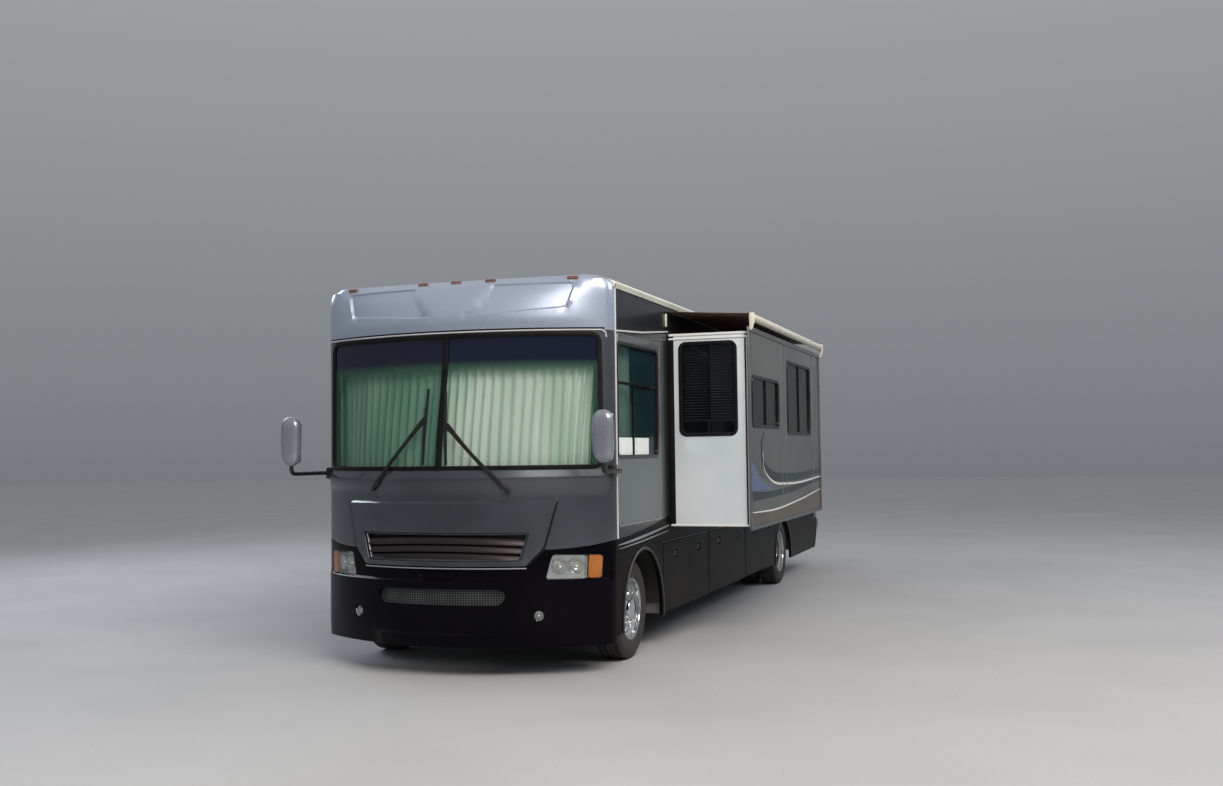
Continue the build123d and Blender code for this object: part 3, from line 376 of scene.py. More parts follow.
def repeated(shape, count, start, step=(0, 0, 0), turn=(0, 0, 0)):
    """Copies of a shape made about its own zero, each one step on and turned a step more, by geometry nodes."""
    mesh = bpy.data.meshes.new("unit")
    mesh.from_pydata((np.array(shape[0]) / 1000).tolist(), [], shape[1])
    copied = bpy.data.objects.new("unit", mesh)
    bpy.context.scene.collection.objects.link(copied)
    tree = bpy.data.node_groups.new("row_of_pieces", "GeometryNodeTree")
    for label, way in (("Piece", "INPUT"), ("Pieces", "OUTPUT")):
        tree.interface.new_socket(label, in_out=way, socket_type="NodeSocketGeometry")
    line = add(tree, "GeometryNodeMeshLine", {
        "Count": count, "Start Location": [c / 1000 for c in start], "Offset": [c / 1000 for c in step]})
    order = add(tree, "GeometryNodeInputIndex").outputs["Index"]
    swing = add(tree, "ShaderNodeVectorMath", {0: turn, "Scale": order}, operation="SCALE")
    copies = add(tree, "GeometryNodeInstanceOnPoints", {
        "Points": line.outputs["Mesh"], "Instance": add(tree, "NodeGroupInput").outputs["Piece"],
        "Rotation": swing.outputs["Vector"]})
    solid = add(tree, "GeometryNodeRealizeInstances", {"Geometry": copies.outputs["Instances"]})
    add(tree, "NodeGroupOutput", {"Pieces": solid.outputs["Geometry"]})
    copied.modifiers.new("row", "NODES").node_group = tree
    made = bpy.data.meshes.new_from_object(copied.evaluated_get(bpy.context.evaluated_depsgraph_get()))
    out = [tuple(v.co * 1000) for v in made.vertices], [tuple(p.vertices) for p in made.polygons]
    bpy.data.objects.remove(copied)
    bpy.data.meshes.remove(made)
    return out


def smooth_curve(x, y):
    """A curve through points that never overshoots them."""
    x, y = np.asarray(x, float), np.asarray(y, float)
    h = np.diff(x)
    slope = np.diff(y) / h
    lean = np.r_[slope[0], np.zeros(len(h) - 1), slope[-1]]
    for i in range(1, len(h)):
        if slope[i - 1] * slope[i] > 0:
            near, far = 2 * h[i] + h[i - 1], h[i] + 2 * h[i - 1]
            lean[i] = 3 * (h[i] + h[i - 1]) / (near / slope[i - 1] + far / slope[i])

    def value(q):
        q = np.clip(q, x[0], x[-1])
        i = np.clip(np.searchsorted(x, q) - 1, 0, len(h) - 1)
        t = (q - x[i]) / h[i]
        return ((2 * t ** 3 - 3 * t ** 2 + 1) * y[i] + (t ** 3 - 2 * t ** 2 + t) * h[i] * lean[i]
                + (3 * t ** 2 - 2 * t ** 3) * y[i + 1] + (t ** 3 - t ** 2) * h[i] * lean[i + 1])
    return value


def alike(*values):
    """Numbers and arrays as float arrays of one shape."""
    return np.broadcast_arrays(*[np.asarray(value, float) for value in values])


# Heights of the nose's sections, how far each is set back, and its half width
nose_z = (235, 400, 800, 1060, 1600, 2690, 2745, 2960, 3060, 3105, 3130)
nose_back = smooth_curve(nose_z, (70, 14, 0, 8, 30, 185, 170, 232, 300, 370, 430))
nose_wide = smooth_curve(nose_z, (half - 8, *[half] * 7, half - 8, half - 42, half - 120))
corner_radius, bow_end = 120.0, 585.0


def nose_plan(z):
    """How far back the nose is at height z, its corner's centre, its bow's radius and the bow's half angle."""
    back, corner = nose_back(z), nose_wide(z) - corner_radius
    reach = bow_end - back
    bow = (reach ** 2 + corner ** 2 - corner_radius ** 2) / (2 * (reach - corner_radius))
    return back, corner, bow, np.arctan2(corner, back + bow - bow_end)


def nose(s, z, depth):
    """The point at distance s along the nose's outline at height z, depth below the skin."""
    s, z = alike(s, z)
    back, corner, bow, turn = nose_plan(z)
    first, second = bow * turn, corner_radius * (math.pi / 2 - turn)
    a = np.abs(s)
    on_bow = a <= first
    angle = np.where(on_bow, a / bow, np.minimum(turn + (a - first) / corner_radius, math.pi / 2))
    radius = np.where(on_bow, bow, corner_radius) - depth
    x = np.where(on_bow, 0, corner) + radius * np.sin(angle)
    y = np.where(on_bow, back + bow, bow_end) - radius * np.cos(angle) + np.maximum(a - first - second, 0)
    return np.stack([np.copysign(x, s), y, z], -1)


def across(x, z):
    """Distance along the outline of the point of the nose's face at x, at height z."""
    _, corner, bow, turn = nose_plan(z)
    a = np.abs(x)
    on_bow = a <= bow * np.sin(turn)
    round_corner = np.arcsin(np.clip((a - corner) / corner_radius, -1, 1)) - turn
    return np.copysign(np.where(on_bow, bow * np.arcsin(np.clip(a / bow, 0, 1)),
                                bow * turn + corner_radius * round_corner), x)


def seam(z):
    """Distance along the outline to the seam with the side wall."""
    _, _, bow, turn = nose_plan(z)
    return bow * turn + corner_radius * (math.pi / 2 - turn) + seam_y - bow_end


def on_nose(outline, pitch=25.0, closed=True):
    """A front-view outline of X, Z points laid on the nose."""
    return [(across(x, z), z) for x, z in dense(outline, pitch, closed)]


def nose_strip(line, section, pitch=30.0):
    """A bar along a front-view line on the nose."""
    return strip(nose, on_nose(line, pitch, False), section)


def signed(x, z, outline):
    """Distance outside a front-view outline, negative inside it."""
    points, ring = np.c_[x, z], counter(outline)
    away = gap_to(points, [ring])
    return np.where(inside(points, ring), -away, away)


def rise(distance, width):
    """1 well inside an outline and 0 outside it, eased over width."""
    t = np.clip(0.5 - distance / width, 0, 1)
    return t * t * (3 - 2 * t)


def ramp_to(value, start, width):
    """0 at start and 1 a width further on."""
    return np.clip((value - start) / width, 0, 1)


def both(outline):
    """A half outline from top centre to bottom centre, mirrored to a whole ring."""
    return [*outline, *[(-x, z) for x, z in reversed(outline)]]


bonnet = both([(894, 1352), (800, 985), (690, 862), (640, 772)])
brow_recess = both([(1010, 3066), (952, 2872), (300, 2824)])
brow_boss = both([(350, 3090), (318, 3010), (205, 2852), (110, 2812)])


def cap_relief(s, z):
    x = nose(s, z, 0.0)[:, 0]
    rim = signed(x, z, bonnet)
    hood = 16 * rise(rim, 14) - 6 * np.exp(-((rim - 14) / 6) ** 2) * ramp_to(-z, -1345, 30)
    cowl = 20 * ramp_to(-z, -1592, 45) * ramp_to(z, 1430, 95) * ramp_to(-np.abs(x), -1262, 40)
    return hood + cowl - 18 * rise(signed(x, z, brow_recess), 16) * (1 - rise(signed(x, z, brow_boss), 24))


def open_fold(reach, z):
    """A level line across the nose, doubled back on itself because a fold is a closed ring."""
    return doubled([(-reach, z), (reach, z)])


def doubled(line):
    fold = on_nose(line, 30, False)
    return [*fold, *fold[-2:0:-1]]


def ring_folds(outline, widths):
    """Lines beside an outline, so that a step there is crisp."""
    ring = counter(dense(rounded(outline, 40, 4), 30))
    return [[(across(x, z), z) for x, z in inset(ring, w)] for w in widths]


def outline_on_nose(levels, bottom, top):
    """A ring that runs up one seam of the nose and down the other, between two lines across it."""
    return [*[(-seam(z), z) for z in levels[::-1]], *bottom, *[(seam(z), z) for z in levels], *top]


split_half = [(1275, 1040), (1215, 1026), (1130, 1008), (1000, 993), (900, 987), (808, 985), (690, 862)]
split_line = [(-x, z) for x, z in split_half] + split_half[::-1]
split_path = [(-seam(1040), 1040.0), *on_nose(split_line, 25, False), (seam(1040), 1040.0)]
cap_top = 3130.0
top_line = [(s, cap_top) for s in np.linspace(seam(cap_top), -seam(cap_top), 60)[1:-1]]
cap_outline = outline_on_nose(np.linspace(1040, cap_top, 70)[1:], split_path, top_line)
screen_ring = on_nose(rounded([(-1214, 1605), (1214, 1605), (1202, 2672), (-1202, 2672)], 70, 6))
grille_ring = on_nose(rounded([(-650, 898), (650, 898), (713, 1119), (-713, 1119)], 22, 4))
hood_lines = [(894, 1352), (800, 985), (696, 868)]
cap_folds = [*ring_folds(brow_recess, (-8, 8)), *[open_fold(1235, z) for z in (1592, 1547, 1525, 1430)],
             *[doubled([(side * (x + shift), z) for x, z in hood_lines])
               for side in (-1, 1) for shift in (-7, 7, 15, 22)],
             *[open_fold(880, z) for z in (1345, 1360)]]
cap_paint = finish("charcoal_metallic_over_fibreglass", "#3e4349", "#50565d", 900, 3, 0.3,
                   coat=(0.6, 0.06), Metallic=0.6)
paint_zone(cap_paint, "#a6b1c6", 2.686, 2.69)
cap_shape = panel(nose, cap_outline, [screen_ring, grille_ring], 48, 5, 4, cap_folds, cap_relief)
lid_ring = [tuple(p[:2]) for p in nose(np.linspace(-1, 1, 60) * seam(cap_top), cap_top, 3.0)]
piece("front_cap_moulding", "cap_paint", cap_paint, cap_shape, prism(lid_ring, "xy", 3100, 3131, 3), node="front_cap")

# Windscreen: two bent panes of green laminated glass with a dark sun band along the top, set in
# a black rubber seal with a post between them. A bright moulding strip runs over the top seal.
rubber = finish("black_epdm_rubber", "#090909", "#121212", 120, 4, 0.55, 0.05, specular=0.15)
glass_screen = finish("green_laminated_glass", "#36604d", "#406b57", 2500, 400, 0.03, specular=0.5, Alpha=0.24, IOR=1.5)
paint_zone(glass_screen, "#090f26", 2.37, 2.46, alpha=0.96)
pane = panel(nose, on_nose(rounded([(-1208, 1611), (-9, 1611), (-9, 2666), (-1196, 2666)], 60)), (), 60, 6, 1, depth=9)
piece("windscreen_panes", "glass", glass_screen, pair(pane), node="windscreen")
screen_seal = strip(nose, inset(counter(screen_ring), 12), bead(34, 5, -14), closed=True)
piece("windscreen_seal", "trim_black", rubber, screen_seal, nose_strip([(0, 1600), (0, 2676)], bead(46, 6, -14)))
# Black beads along the bonnet's sloping sides: painted shade in the groove beside the raised panel.
piece("bonnet_groove_painted_shade", "trim_black", rubber, pair(nose_strip([(x + 13, z) for x, z in hood_lines], bead(12, 2.5), 20)))
border = finish("black_ceramic_border", "#0a0a09", "#10100e", 200, 3, 0.3, specular=0.15)
edges = panel(nose, on_nose(rect(1150, 1210, 1612, 2664)), (), 80, 1, 0, depth=16)
piece("windscreen_border", "glass", border, pair(edges))
bright = finish("light_grey_anodised_aluminium", "#8f9296", "#a6a9ac", 300, 1.5, 0.33, Metallic=0.85)
pale_bead = finish("pale_extruded_bead", "#c4c5c8", "#d2d3d6", 300, 1.5, 0.3, Metallic=0.2)
piece("windscreen_top_moulding", "trim_light", pale_bead,
      nose_strip([(-1228, 2688), (1205, 2688), (1232, 2670), (1238, 2630)], bead(12, 9, -1), 18))
piece("windscreen_top_gasket", "trim_black", rubber, nose_strip([(-1228, 2701), (1228, 2701)], bead(12, 5, -1)))

# Front bumper: a gloss black moulding below the cap. Its lower part steps out, a shallow lip is
# pressed into the bottom edge, and it holds the headlamps, the intake and two fog lamps.
bumper_low = 235.0
fog_x, fog_z = 774, 482
lamp_ring = on_nose(rounded([(826, 755), (1192, 752), (1203, 931), (871, 945)], 26, 4))
intake_ring = on_nose(rounded([(-552, 684), (-520, 560), (520, 560), (552, 684)], 60, 6))
bumper_holes = [lamp_ring, [(-s, z) for s, z in lamp_ring], intake_ring,
                *[on_nose(circle(46, (x, fog_z), 24), 60) for x in (-fog_x, fog_x)]]
notch_outline = both([(150, 842), (172, 790), (120, 760)])


def bumper_relief(s, z):
    x = nose(s, z, 0.0)[:, 0]
    step = 18 * ramp_to(-z, -760, 16) * ramp_to(-np.abs(x), -1268, 60)
    lip = 22 * ramp_to(-z, -352, 16) * ramp_to(-np.abs(x), -590, 60)
    return step + lip - 16 * rise(signed(x, z, notch_outline), 14)


low_line = [(s, bumper_low) for s in np.linspace(seam(bumper_low), -seam(bumper_low), 64)[1:-1]]
bumper_outline = outline_on_nose(np.linspace(bumper_low, 1040, 30)[-2::-1], split_path, low_line)
bumper_folds = [*[open_fold(1262, z) for z in (760, 744)], *[open_fold(540, z) for z in (352, 336)],
                *ring_folds(notch_outline, (-6, 7))]
bumper_black = finish("gloss_black_moulding", "#040307", "#08060d", 700, 4, 0.2, specular=0.07)
piece("front_bumper_moulding", "black_gloss", bumper_black,
      panel(nose, bumper_outline, bumper_holes, 46, 6, 4, bumper_folds, bumper_relief), node="front_bumper")
tow_section = [(-5, 12), (5, 12), (8, 17), (5, 23), (-5, 23), (-8, 17)]
piece("front_tow_eye", "trim_black", rubber, lathe(tow_section, nose(across(-82, 300), 262, -24), "y", 24, True))

# Grille: a satin frame in the bonnet, three broad dark metal louvres that arch across it and lean
# back, a black net behind them, and a bright bar along the bonnet's lower edge.
frame_metal = finish("satin_grey_frame_metal", "#43474a", "#54585b", 160, 1.5, 0.3, Metallic=0.8)
louvre_metal = finish("dark_bronze_brushed_metal", "#292425", "#3b3436", 260, 2, 0.34,
                      stretch=(0.12, 1, 1), Metallic=0.8)
net_black = finish("black_wire_net", "#060606", "#0c0c0c", 60, 3, 0.6, 0.6)
frame_ring = counter(grille_ring)
piece("grille_frame", "grille_metal", frame_metal,
      panel(nose, inset(frame_ring, 1), [inset(frame_ring, 17)], 40, 26, 4, depth=-6), node="grilles")
blade_section = [(31, 4), (31, -3), (4, -12), (-31, -36), (-33, -30), (-12, -7), (10, 3), (24, 7)]
louvres = []
for middle in (930, 990, 1050):
    reach = 637 + 63 * (middle - 898) / 221
    arched = [(x, middle + 26 * (1 - (x / 700) ** 2) - 10) for x in np.linspace(-reach, reach, 46)]
    louvres.append(nose_strip(arched, blade_section, 60))
piece("grille_louvres", "grille_metal", louvre_metal, *louvres)
# A pale strip on the frame's inner edge, left side and bottom only: a painted highlight.
piece("grille_frame_painted_highlight", "grille_metal", bright,
      nose_strip([(-690, 1104), (-634, 912), (634, 912)], bead(6, 5, -8)))
piece("grille_net", "trim_black", net_black, panel(nose, inset(frame_ring, 4), (), 60, 3, 1, depth=40))
chrome_trim = finish("polished_bright_trim", "#b9bcc2", "#c9ccd1", 200, 1.5, 0.12, Metallic=1.0)
piece("grille_bright_bar", "trim_light", chrome_trim, nose_strip([(-693, 846), (693, 846)], bead(15, 11, -4)))

# Lower intake: a woven grey wire net, its wires 3 mm thick, 22 mm apart across and 18 mm down.
wire_grey = finish("galvanised_wire", "#5a5d5e", "#6e7273", 90, 2, 0.42, Metallic=0.5)
wires = []
for level in np.arange(572, 684, 18.0):
    reach = 556 - (684 - level) * 0.26
    wires.append(nose_strip([(-reach, level), (reach, level)], rect(-1.6, 1.6, -15, -12), 40))
for s in np.arange(-545, 546, 22.0):
    wires.append(strip(nose, [(s, 560), (s, 622), (s, 686)], rect(-1.6, 1.6, -13, -10)))
piece("intake_net", "trim_black", wire_grey, *wires)
piece("intake_backing", "trim_black", net_black, panel(nose, inset(counter(intake_ring), -14), (), 80, 3, 1, depth=44))


# Headlamps: a clear polycarbonate lens with an amber outer third over a bright housing with two
# bowls, each bowl with its bulb. The fog lamps are small bright bowls in round black holes.
def facing(shape, x, z, depth=0.0):
    """A shape made along +Z, set to look out of the nose at x, z."""
    point, deeper = [nose(across(x, z), z, depth + more) for more in (0, 10)]
    turn = Vector(point - deeper).to_track_quat("Z", "Y").to_matrix().to_4x4()
    return turned(shape, Matrix.Translation(Vector(point)) @ turn)


lens_clear = finish("clear_polycarbonate", "#e6ecec", "#f4f8f8", 300, 3, 0.04, Alpha=0.1)
lens_amber = finish("amber_polycarbonate", "#9c5c22", "#b06d30", 60, 3, 0.08, Alpha=0.82)
lamp_silver = finish("vacuum_metallised_bowl", "#7d8585", "#929a9a", 120, 2, 0.1, Metallic=1.0)
bulb_glass = finish("white_bulb_glass", "#fdfdf4", "#ffffff", 40, 2, 0.1)
lens, amber = [panel(nose, inset(counter(on_nose(rounded(corners, 18, 4))), 2), (), 50, 4, 2, depth=2) for corners in (
    [(826, 756), (1100, 753), (1108, 932), (871, 943)], [(1104, 756), (1192, 753), (1203, 932), (1112, 943)])]
lamp_wall = counter(lamp_ring)
bowl = lathe([(0, 62), (-3, 60), (-16, 52), (-32, 38), (-42, 20), (-45, 1)], steps=40)
bulb = lathe([(-44, 6), (-24, 6), (-12, 9), (-5, 7), (-1, 0.5)], steps=16)
fog_bowl = lathe([(2, 38), (0, 35), (-12, 29), (-24, 15), (-27, 1)], steps=32)
fog_bulb = lathe([(-24, 5), (-8, 6), (-3, 0.5)], steps=12)
fog_glass = lathe([(-2, 36), (3, 34), (7, 20), (8, 0.5)], steps=32)
fog_can = lathe([(-30, 47), (-2, 47), (-2, 37), (-30, 37)], steps=32, closed=True)
bowl_x = (928, 1036)
piece("lamp_housings", "lamp", lamp_silver,
      pair(panel(nose, inset(lamp_wall, -2), (), 60, 2, 0, depth=58),
           strip(nose, inset(lamp_wall, -1), [(-1, -1), (1, -1), (1, -60), (-1, -60)], closed=True),
           *[facing(bowl, x, 850, 13) for x in bowl_x],
           facing(turned(bowl, Matrix.Diagonal((1, 1, 0.8, 1))), 1150, 848, 14),
           facing(fog_bowl, fog_x, fog_z, -4)), node="front_lamps")
piece("lamp_lenses", "lamp", lens_clear, pair(lens, facing(fog_glass, fog_x, fog_z, -4)))
piece("lamp_amber_lenses", "lamp", lens_amber, pair(amber))
piece("lamp_bulbs", "lamp", bulb_glass,
      pair(*[facing(bulb, x, 850, 13) for x in bowl_x], facing(fog_bulb, fog_x, fog_z, -4)))
piece("fog_lamp_cans", "lamp", rubber, pair(facing(fog_can, fog_x, fog_z, -4)))

# Five red-amber clearance lamps, small rounded lenses set along the top of the brow.
clearance_lens = finish("red_amber_marker_lens", "#6d4a43", "#7f5b53", 60, 2, 0.2)
marker = prism(rounded(rect(-46, 46, -13, 13), 11, 4), "xy", -6, 16, 4)
piece("clearance_lamps", "tail_lamp", clearance_lens, *[facing(marker, x, z) for x, z in (
    (-985, 3108), (-300, 3112), (0, 3113), (300, 3112), (985, 3108))])

# Wipers: on each side a capped pivot, twin pressed arms that swing as a parallelogram, and a
# blade held by a claw, all in satin black.
wiper_black = finish("satin_black_wiper_steel", "#0a0a0b", "#151516", 90, 2, 0.35)
pivot_cap = lathe([(-40, 13), (20, 14), (34, 15), (38, 12), (40, 0.5)], steps=20)
wiper_parts = []
for pivot, tip, foot, head in (((565, 1430), (85, 1923), (76, 1643), (33, 2216)),
                               ((-609, 1455), (-148, 1975), (-124, 1645), (-120, 2244))):
    outward = math.copysign(1, pivot[0])
    for shift, lift, w in ((0, 0, 16), (-50, 34, 11)):
        start = (pivot[0] + outward * shift, pivot[1] + lift)
        end = (tip[0] + outward * shift * 0.3, tip[1] + lift * 1.2)
        wiper_parts.append(nose_strip([start, end], [(-w, 26), (w, 26), (w / 1.5, 36), (-w / 1.5, 36)], 40))
        wiper_parts.append(facing(pivot_cap, *start))
    low_end, middle, high_end = np.linspace(foot, head, 5)[1:4]
    claw = [(tip[0] + outward * 12, tip[1] - 12), (middle[0], tip[1] + 14)]
    wiper_parts += [nose_strip([foot, head], [(-4, 5), (4, 5), (12, 20), (9, 27), (-9, 27), (-12, 20)]),
                    nose_strip([low_end, high_end], [(-14, 24), (14, 24), (11, 33), (-11, 33)], 40),
                    nose_strip(claw, [(-17, 22), (17, 22), (13, 38), (-13, 38)], 40)]
piece("wipers_black", "trim_black", wiper_black, *wiper_parts, node="wipers")

# Mirrors: a moulded grey shell with a rounded crown, a flat glass on its rear, and a bent tube
# arm that runs along the cab's side to a cast foot.
mirror_x, shell_verts, ring_size, layers = 1352, [], 32, 28
for k in range(layers + 1):
    t = 0.5 - 0.5 * math.cos(math.pi * (0.03 + 0.94 * k / layers))
    full = (1 - abs(2 * t - 1) ** 5) ** 0.5
    for cx, sy in circle(1, count=ring_size):
        x = 85 * full * (0.9 + 0.1 * t) * math.copysign(abs(cx) ** 0.65, cx)
        y = min(55 * full * math.copysign(abs(sy) ** 0.65, sy), 38)
        shell_verts.append((mirror_x + x, 75 + y, 1642 + 406 * t))
mirror_grey = finish("grey_metallic_mirror_shell", "#7d838d", "#8d939c", 300, 3, 0.25, coat=(0.5, 0.06), Metallic=0.5)
piece("mirror_shells", "mirror_grey", mirror_grey,
      pair((shell_verts, weave(layers + 1, ring_size, False, True, True))), node="mirrors")
mirror_glass = finish("silvered_mirror_glass", "#aab0b6", "#b4babf", 400, 50, 0.03, Metallic=1.0)
piece("mirror_glasses", "mirror_grey", mirror_glass, pair(*[
    prism(rounded(rect(mirror_x - w, mirror_x + w, low, high), radius), "xz", 112, 117, 1.5)
    for w, low, high, radius in ((70, 1810, 2025, 26), (66, 1668, 1792, 22))]))
bend = [(1262, 560, 1580), (1300, 545, 1580), (1335, 515, 1580), (1350, 470, 1580), (1352, 420, 1580),
        (1352, 130, 1580), (1352, 92, 1588), (1352, 76, 1612), (1352, 75, 1660)]
piece("mirror_arms", "trim_black", wiper_black, pair(tube(bend, 17, 16), box(1240, 1289, 492, 593, 1532, 1628, 8, 3)))


# Side walls: laminated panels of gloss fibreglass, charcoal above, with a lighter grey field let in
# round the windows and a gloss black lower band, edged with light extruded strips.
def side_at(level):
    """An upright surface that faces +X at x = level; its coordinates are Y and Z."""
    def surface(y, z, depth):
        y, z, depth = alike(y, z, depth)
        return np.stack([level - depth, y, z], -1)
    return surface


def hole(low_y, high_y, low_z, high_z, radius=60):
    return counter(rounded(rect(low_y, high_y, low_z, high_z), radius, 6))


def decal(surface, outline, holes=(), lift=1.2, pitch=400):
    return panel(surface, outline, holes, pitch, lift + 0.6, 0, depth=-lift)


def field(low_y, high_y, low_z, holes):
    """The grey field of a stretch of wall, cut round its windows."""
    return decal(wall, hole(low_y, high_y, low_z, field_high, 24), [inset(ring, -6) for ring in holes])


def stripes(rows, surface, lift=2.2, steps=12):
    """Stripes that swell and thin, each given by the points of a smooth path and the widths there."""
    out = []
    for path, widths in rows:
        path, t = np.array(path, float), np.arange(len(path))
        fine = np.linspace(0, t[-1], steps * t[-1] + 1)
        line = np.c_[smooth_curve(t, path[:, 0])(fine), smooth_curve(t, path[:, 1])(fine)]
        side = square_to(np.gradient(line, axis=0)) * smooth_curve(t, widths)(fine)[:, None] / 2
        out.append(decal(surface, np.vstack([line + side, (line - side)[::-1]]), (), lift, 90))
    return join(*out)


# Each window of a side: its low and high Y, its low and high Z, and the two ends of each bar.
cab_window = (627, 1745, 1675, 2610), [((650, 2280), (1722, 2280)), ((1065, 1700), (1065, 2270))]
left_windows = [cab_window, ((8150, 9050, 1800, 2450), [((8600, 1820), (8600, 2430))])]
right_windows = [cab_window, ((2950, 4050, 1780, 2480), [((3500, 1800), (3500, 2460))]),
                 ((4750, 5650, 1980, 2480), []), ((8000, 9050, 1800, 2450), [((8525, 1820), (8525, 2430))])]
wall, wall_rear, wall_foot, wall_top, field_low, field_high = side_at(half), 9640, 940, 3040, 1138, 2672
left_holes, right_holes = [[hole(*window) for window, _ in side] for side in (left_windows, right_windows)]
slide_hole = rect(2078, 5760, 1036, 2801)
charcoal_wall = finish("charcoal_gloss_wall", "#161c1f", "#20282b", 1400, 3, 0.3, coat=(0.15, 0.05), Metallic=0.35)
grey_field = finish("satin_grey_wall_field", "#3f474c", "#4b5358", 1600, 3, 0.3, coat=(0.25, 0.1), Metallic=0.3)
black_body = finish("gloss_black_lower_body", "#060505", "#100c08", 900, 4, 0.3, specular=0.03)
entry_cut = [(seam_y, wall_foot), (1960, wall_foot), (1960, 2580), (1978, 2622), (2020, 2640), (2590, 2640),
             (2632, 2622), (2650, 2580), (2650, wall_foot), (wall_rear, wall_foot), (wall_rear, wall_top),
             (seam_y, wall_top)]
piece("left_wall_shell", "side_paint", charcoal_wall,
      panel(wall, rect(seam_y, wall_rear, wall_foot, wall_top), [*left_holes, slide_hole], 300, 50, 2),
      node="left_wall")
piece("right_wall_shell", "side_paint", charcoal_wall,
      flip(panel(wall, entry_cut, right_holes, 300, 50, 2)), node="right_wall")
piece("wall_grey_fields", "side_paint", grey_field, field(652, 1812, field_low, left_holes[:1]),
      field(5800, 9606, field_low + 30, left_holes[1:]), flip(field(652, 1925, field_low, right_holes[:1])),
      flip(field(2690, 9606, field_low + 30, right_holes[1:])))
band_rise = [(600, 1040), (900, 1050), (1300, 1077), (1700, 1116), (2078, 1152)]
left_band = [(600, 942), *band_rise, (2078, 1034), (5762, 1034), (5762, 1152), (9638, 1152), (9638, 942)]
right_bands = [(600, 942), *band_rise[:-1], (1954, 1140), (1954, 942)], rect(2656, 9638, 942, 1152)
piece("wall_black_bands", "black_gloss", black_body,
      decal(wall, left_band), *[flip(decal(wall, part)) for part in right_bands])
swoosh = [(612, 0), (900, 12), (1300, 38), (1700, 72), (2066, 104)]
upper_swoosh = [(y, 992 + z * 0.72) for y, z in swoosh], (6, 18, 22, 18, 6)
lower_swoosh = [(y, 962 + z * 0.56) for y, z in swoosh], (3, 9, 12, 9, 3)
rear_silver = [(5772, 1120), (6800, 1100), (8200, 1104), (9400, 1150), (9630, 1172)], (8, 18, 22, 16, 4)
right_silver = [(2668, 1120), (4400, 1092), (6800, 1088), (8800, 1120), (9630, 1172)], (6, 18, 24, 16, 4)
silver_vinyl = finish("silver_vinyl_stripe", "#a7aaad", "#b9bcbf", 300, 2, 0.25, Metallic=0.8)
piece("side_silver_stripes", "trim_light", silver_vinyl, stripes([upper_swoosh, lower_swoosh, rear_silver], wall),
      flip(stripes([upper_swoosh, right_silver], wall)))
left_trim, right_trim = [strip(wall, hole(652, high, field_low, field_high, 24), bead(9, 5), closed=True)
                         for high in (1812, 1925)]
upper_trim = [(612, 2690), (1300, 2732), (2076, 2770), (5000, 2780), (9628, 2780)]
piece("side_light_trims", "trim_light", bright, left_trim, flip(right_trim),
      pair(strip(wall, [(9632, 946), (9632, 2000), (9632, 3030)], bead(14, 6))),
      strip(wall, [(5764, 2806), (7600, 2806), (9628, 2806)], bead(13, 7)), flip(strip(wall, upper_trim, bead(13, 7))))
piece("side_pale_beads", "trim_light", pale_bead,
      pair(strip(wall, [(608, 1046), (608, 2000), (608, 3030)], bead(18, 8))),
      strip(wall, [(620, 2690), (1300, 2732), (2076, 2806)], bead(15, 7)))
gutter_cap = finish("cream_roof_edge_extrusion", "#b3b6ab", "#c3c5b9", 500, 3, 0.4, 0.05)
gutter_section = [(-20, 4), (20, 4), (20, 13), (6, 15), (-8, 22), (-20, 22)]
piece("roof_edge_rails", "trim_light", gutter_cap,
      pair(strip(wall, [(600, 3048), (5000, 3048), (9640, 3048)], gutter_section)))

# Windows: rounded frames of black anodised aluminium, dark bonded glass, and a sash bar where they
# open. The cab's side windows are green and clearer, with a bar across; slatted blinds hang in the rest.
frame_black = finish("black_anodised_frame", "#0d0d0e", "#171718", 120, 2, 0.32, Metallic=0.4)
glass_dark = finish("dark_tinted_glass", "#080d10", "#0c1214", 900, 300, 0.03, Alpha=0.55)
glass_cab = finish("green_cab_glass", "#1f363c", "#27434a", 900, 300, 0.03, Alpha=0.36)
blind_slat = finish("painted_blind_slat", "#a9afab", "#bfc4c0", 200, 3, 0.5)


def window_frame(surface, window, bars):
    """The frame of a window and its bars."""
    ring = hole(*window)
    return join(panel(surface, inset(ring, -5), [inset(ring, 28)], 500, 26, 6, depth=-8),
                *[strip(surface, np.linspace(*ends, 3), bead(22, 2, -14)) for ends in bars])


def window_pane(surface, window):
    return panel(surface, inset(hole(*window), 24), (), 500, 6, 0, depth=12)


def blinds(x, y, low_z, high_z, length, angle=0):
    """A stack of crowned slats, set by geometry nodes; they run along X, or Y where angle is 90."""
    pitch = 25.0
    slat = prism([(-11, -4), (-4, 0), (4, 0), (11, -4), (11, -3), (4, 1), (-4, 1), (-11, -3)], "yz",
                 -length / 2, length / 2, 0)
    slat = turned(slat, Matrix.Rotation(math.radians(angle), 4, "Z"))
    return repeated(slat, int((high_z - low_z) / pitch), (x, y, low_z), (0, 0, pitch))


def window_blinds(x, window):
    low_y, high_y, low_z, high_z = window
    return blinds(x, (low_y + high_y) / 2, low_z + 30, high_z - 20, high_y - low_y - 60, 90)


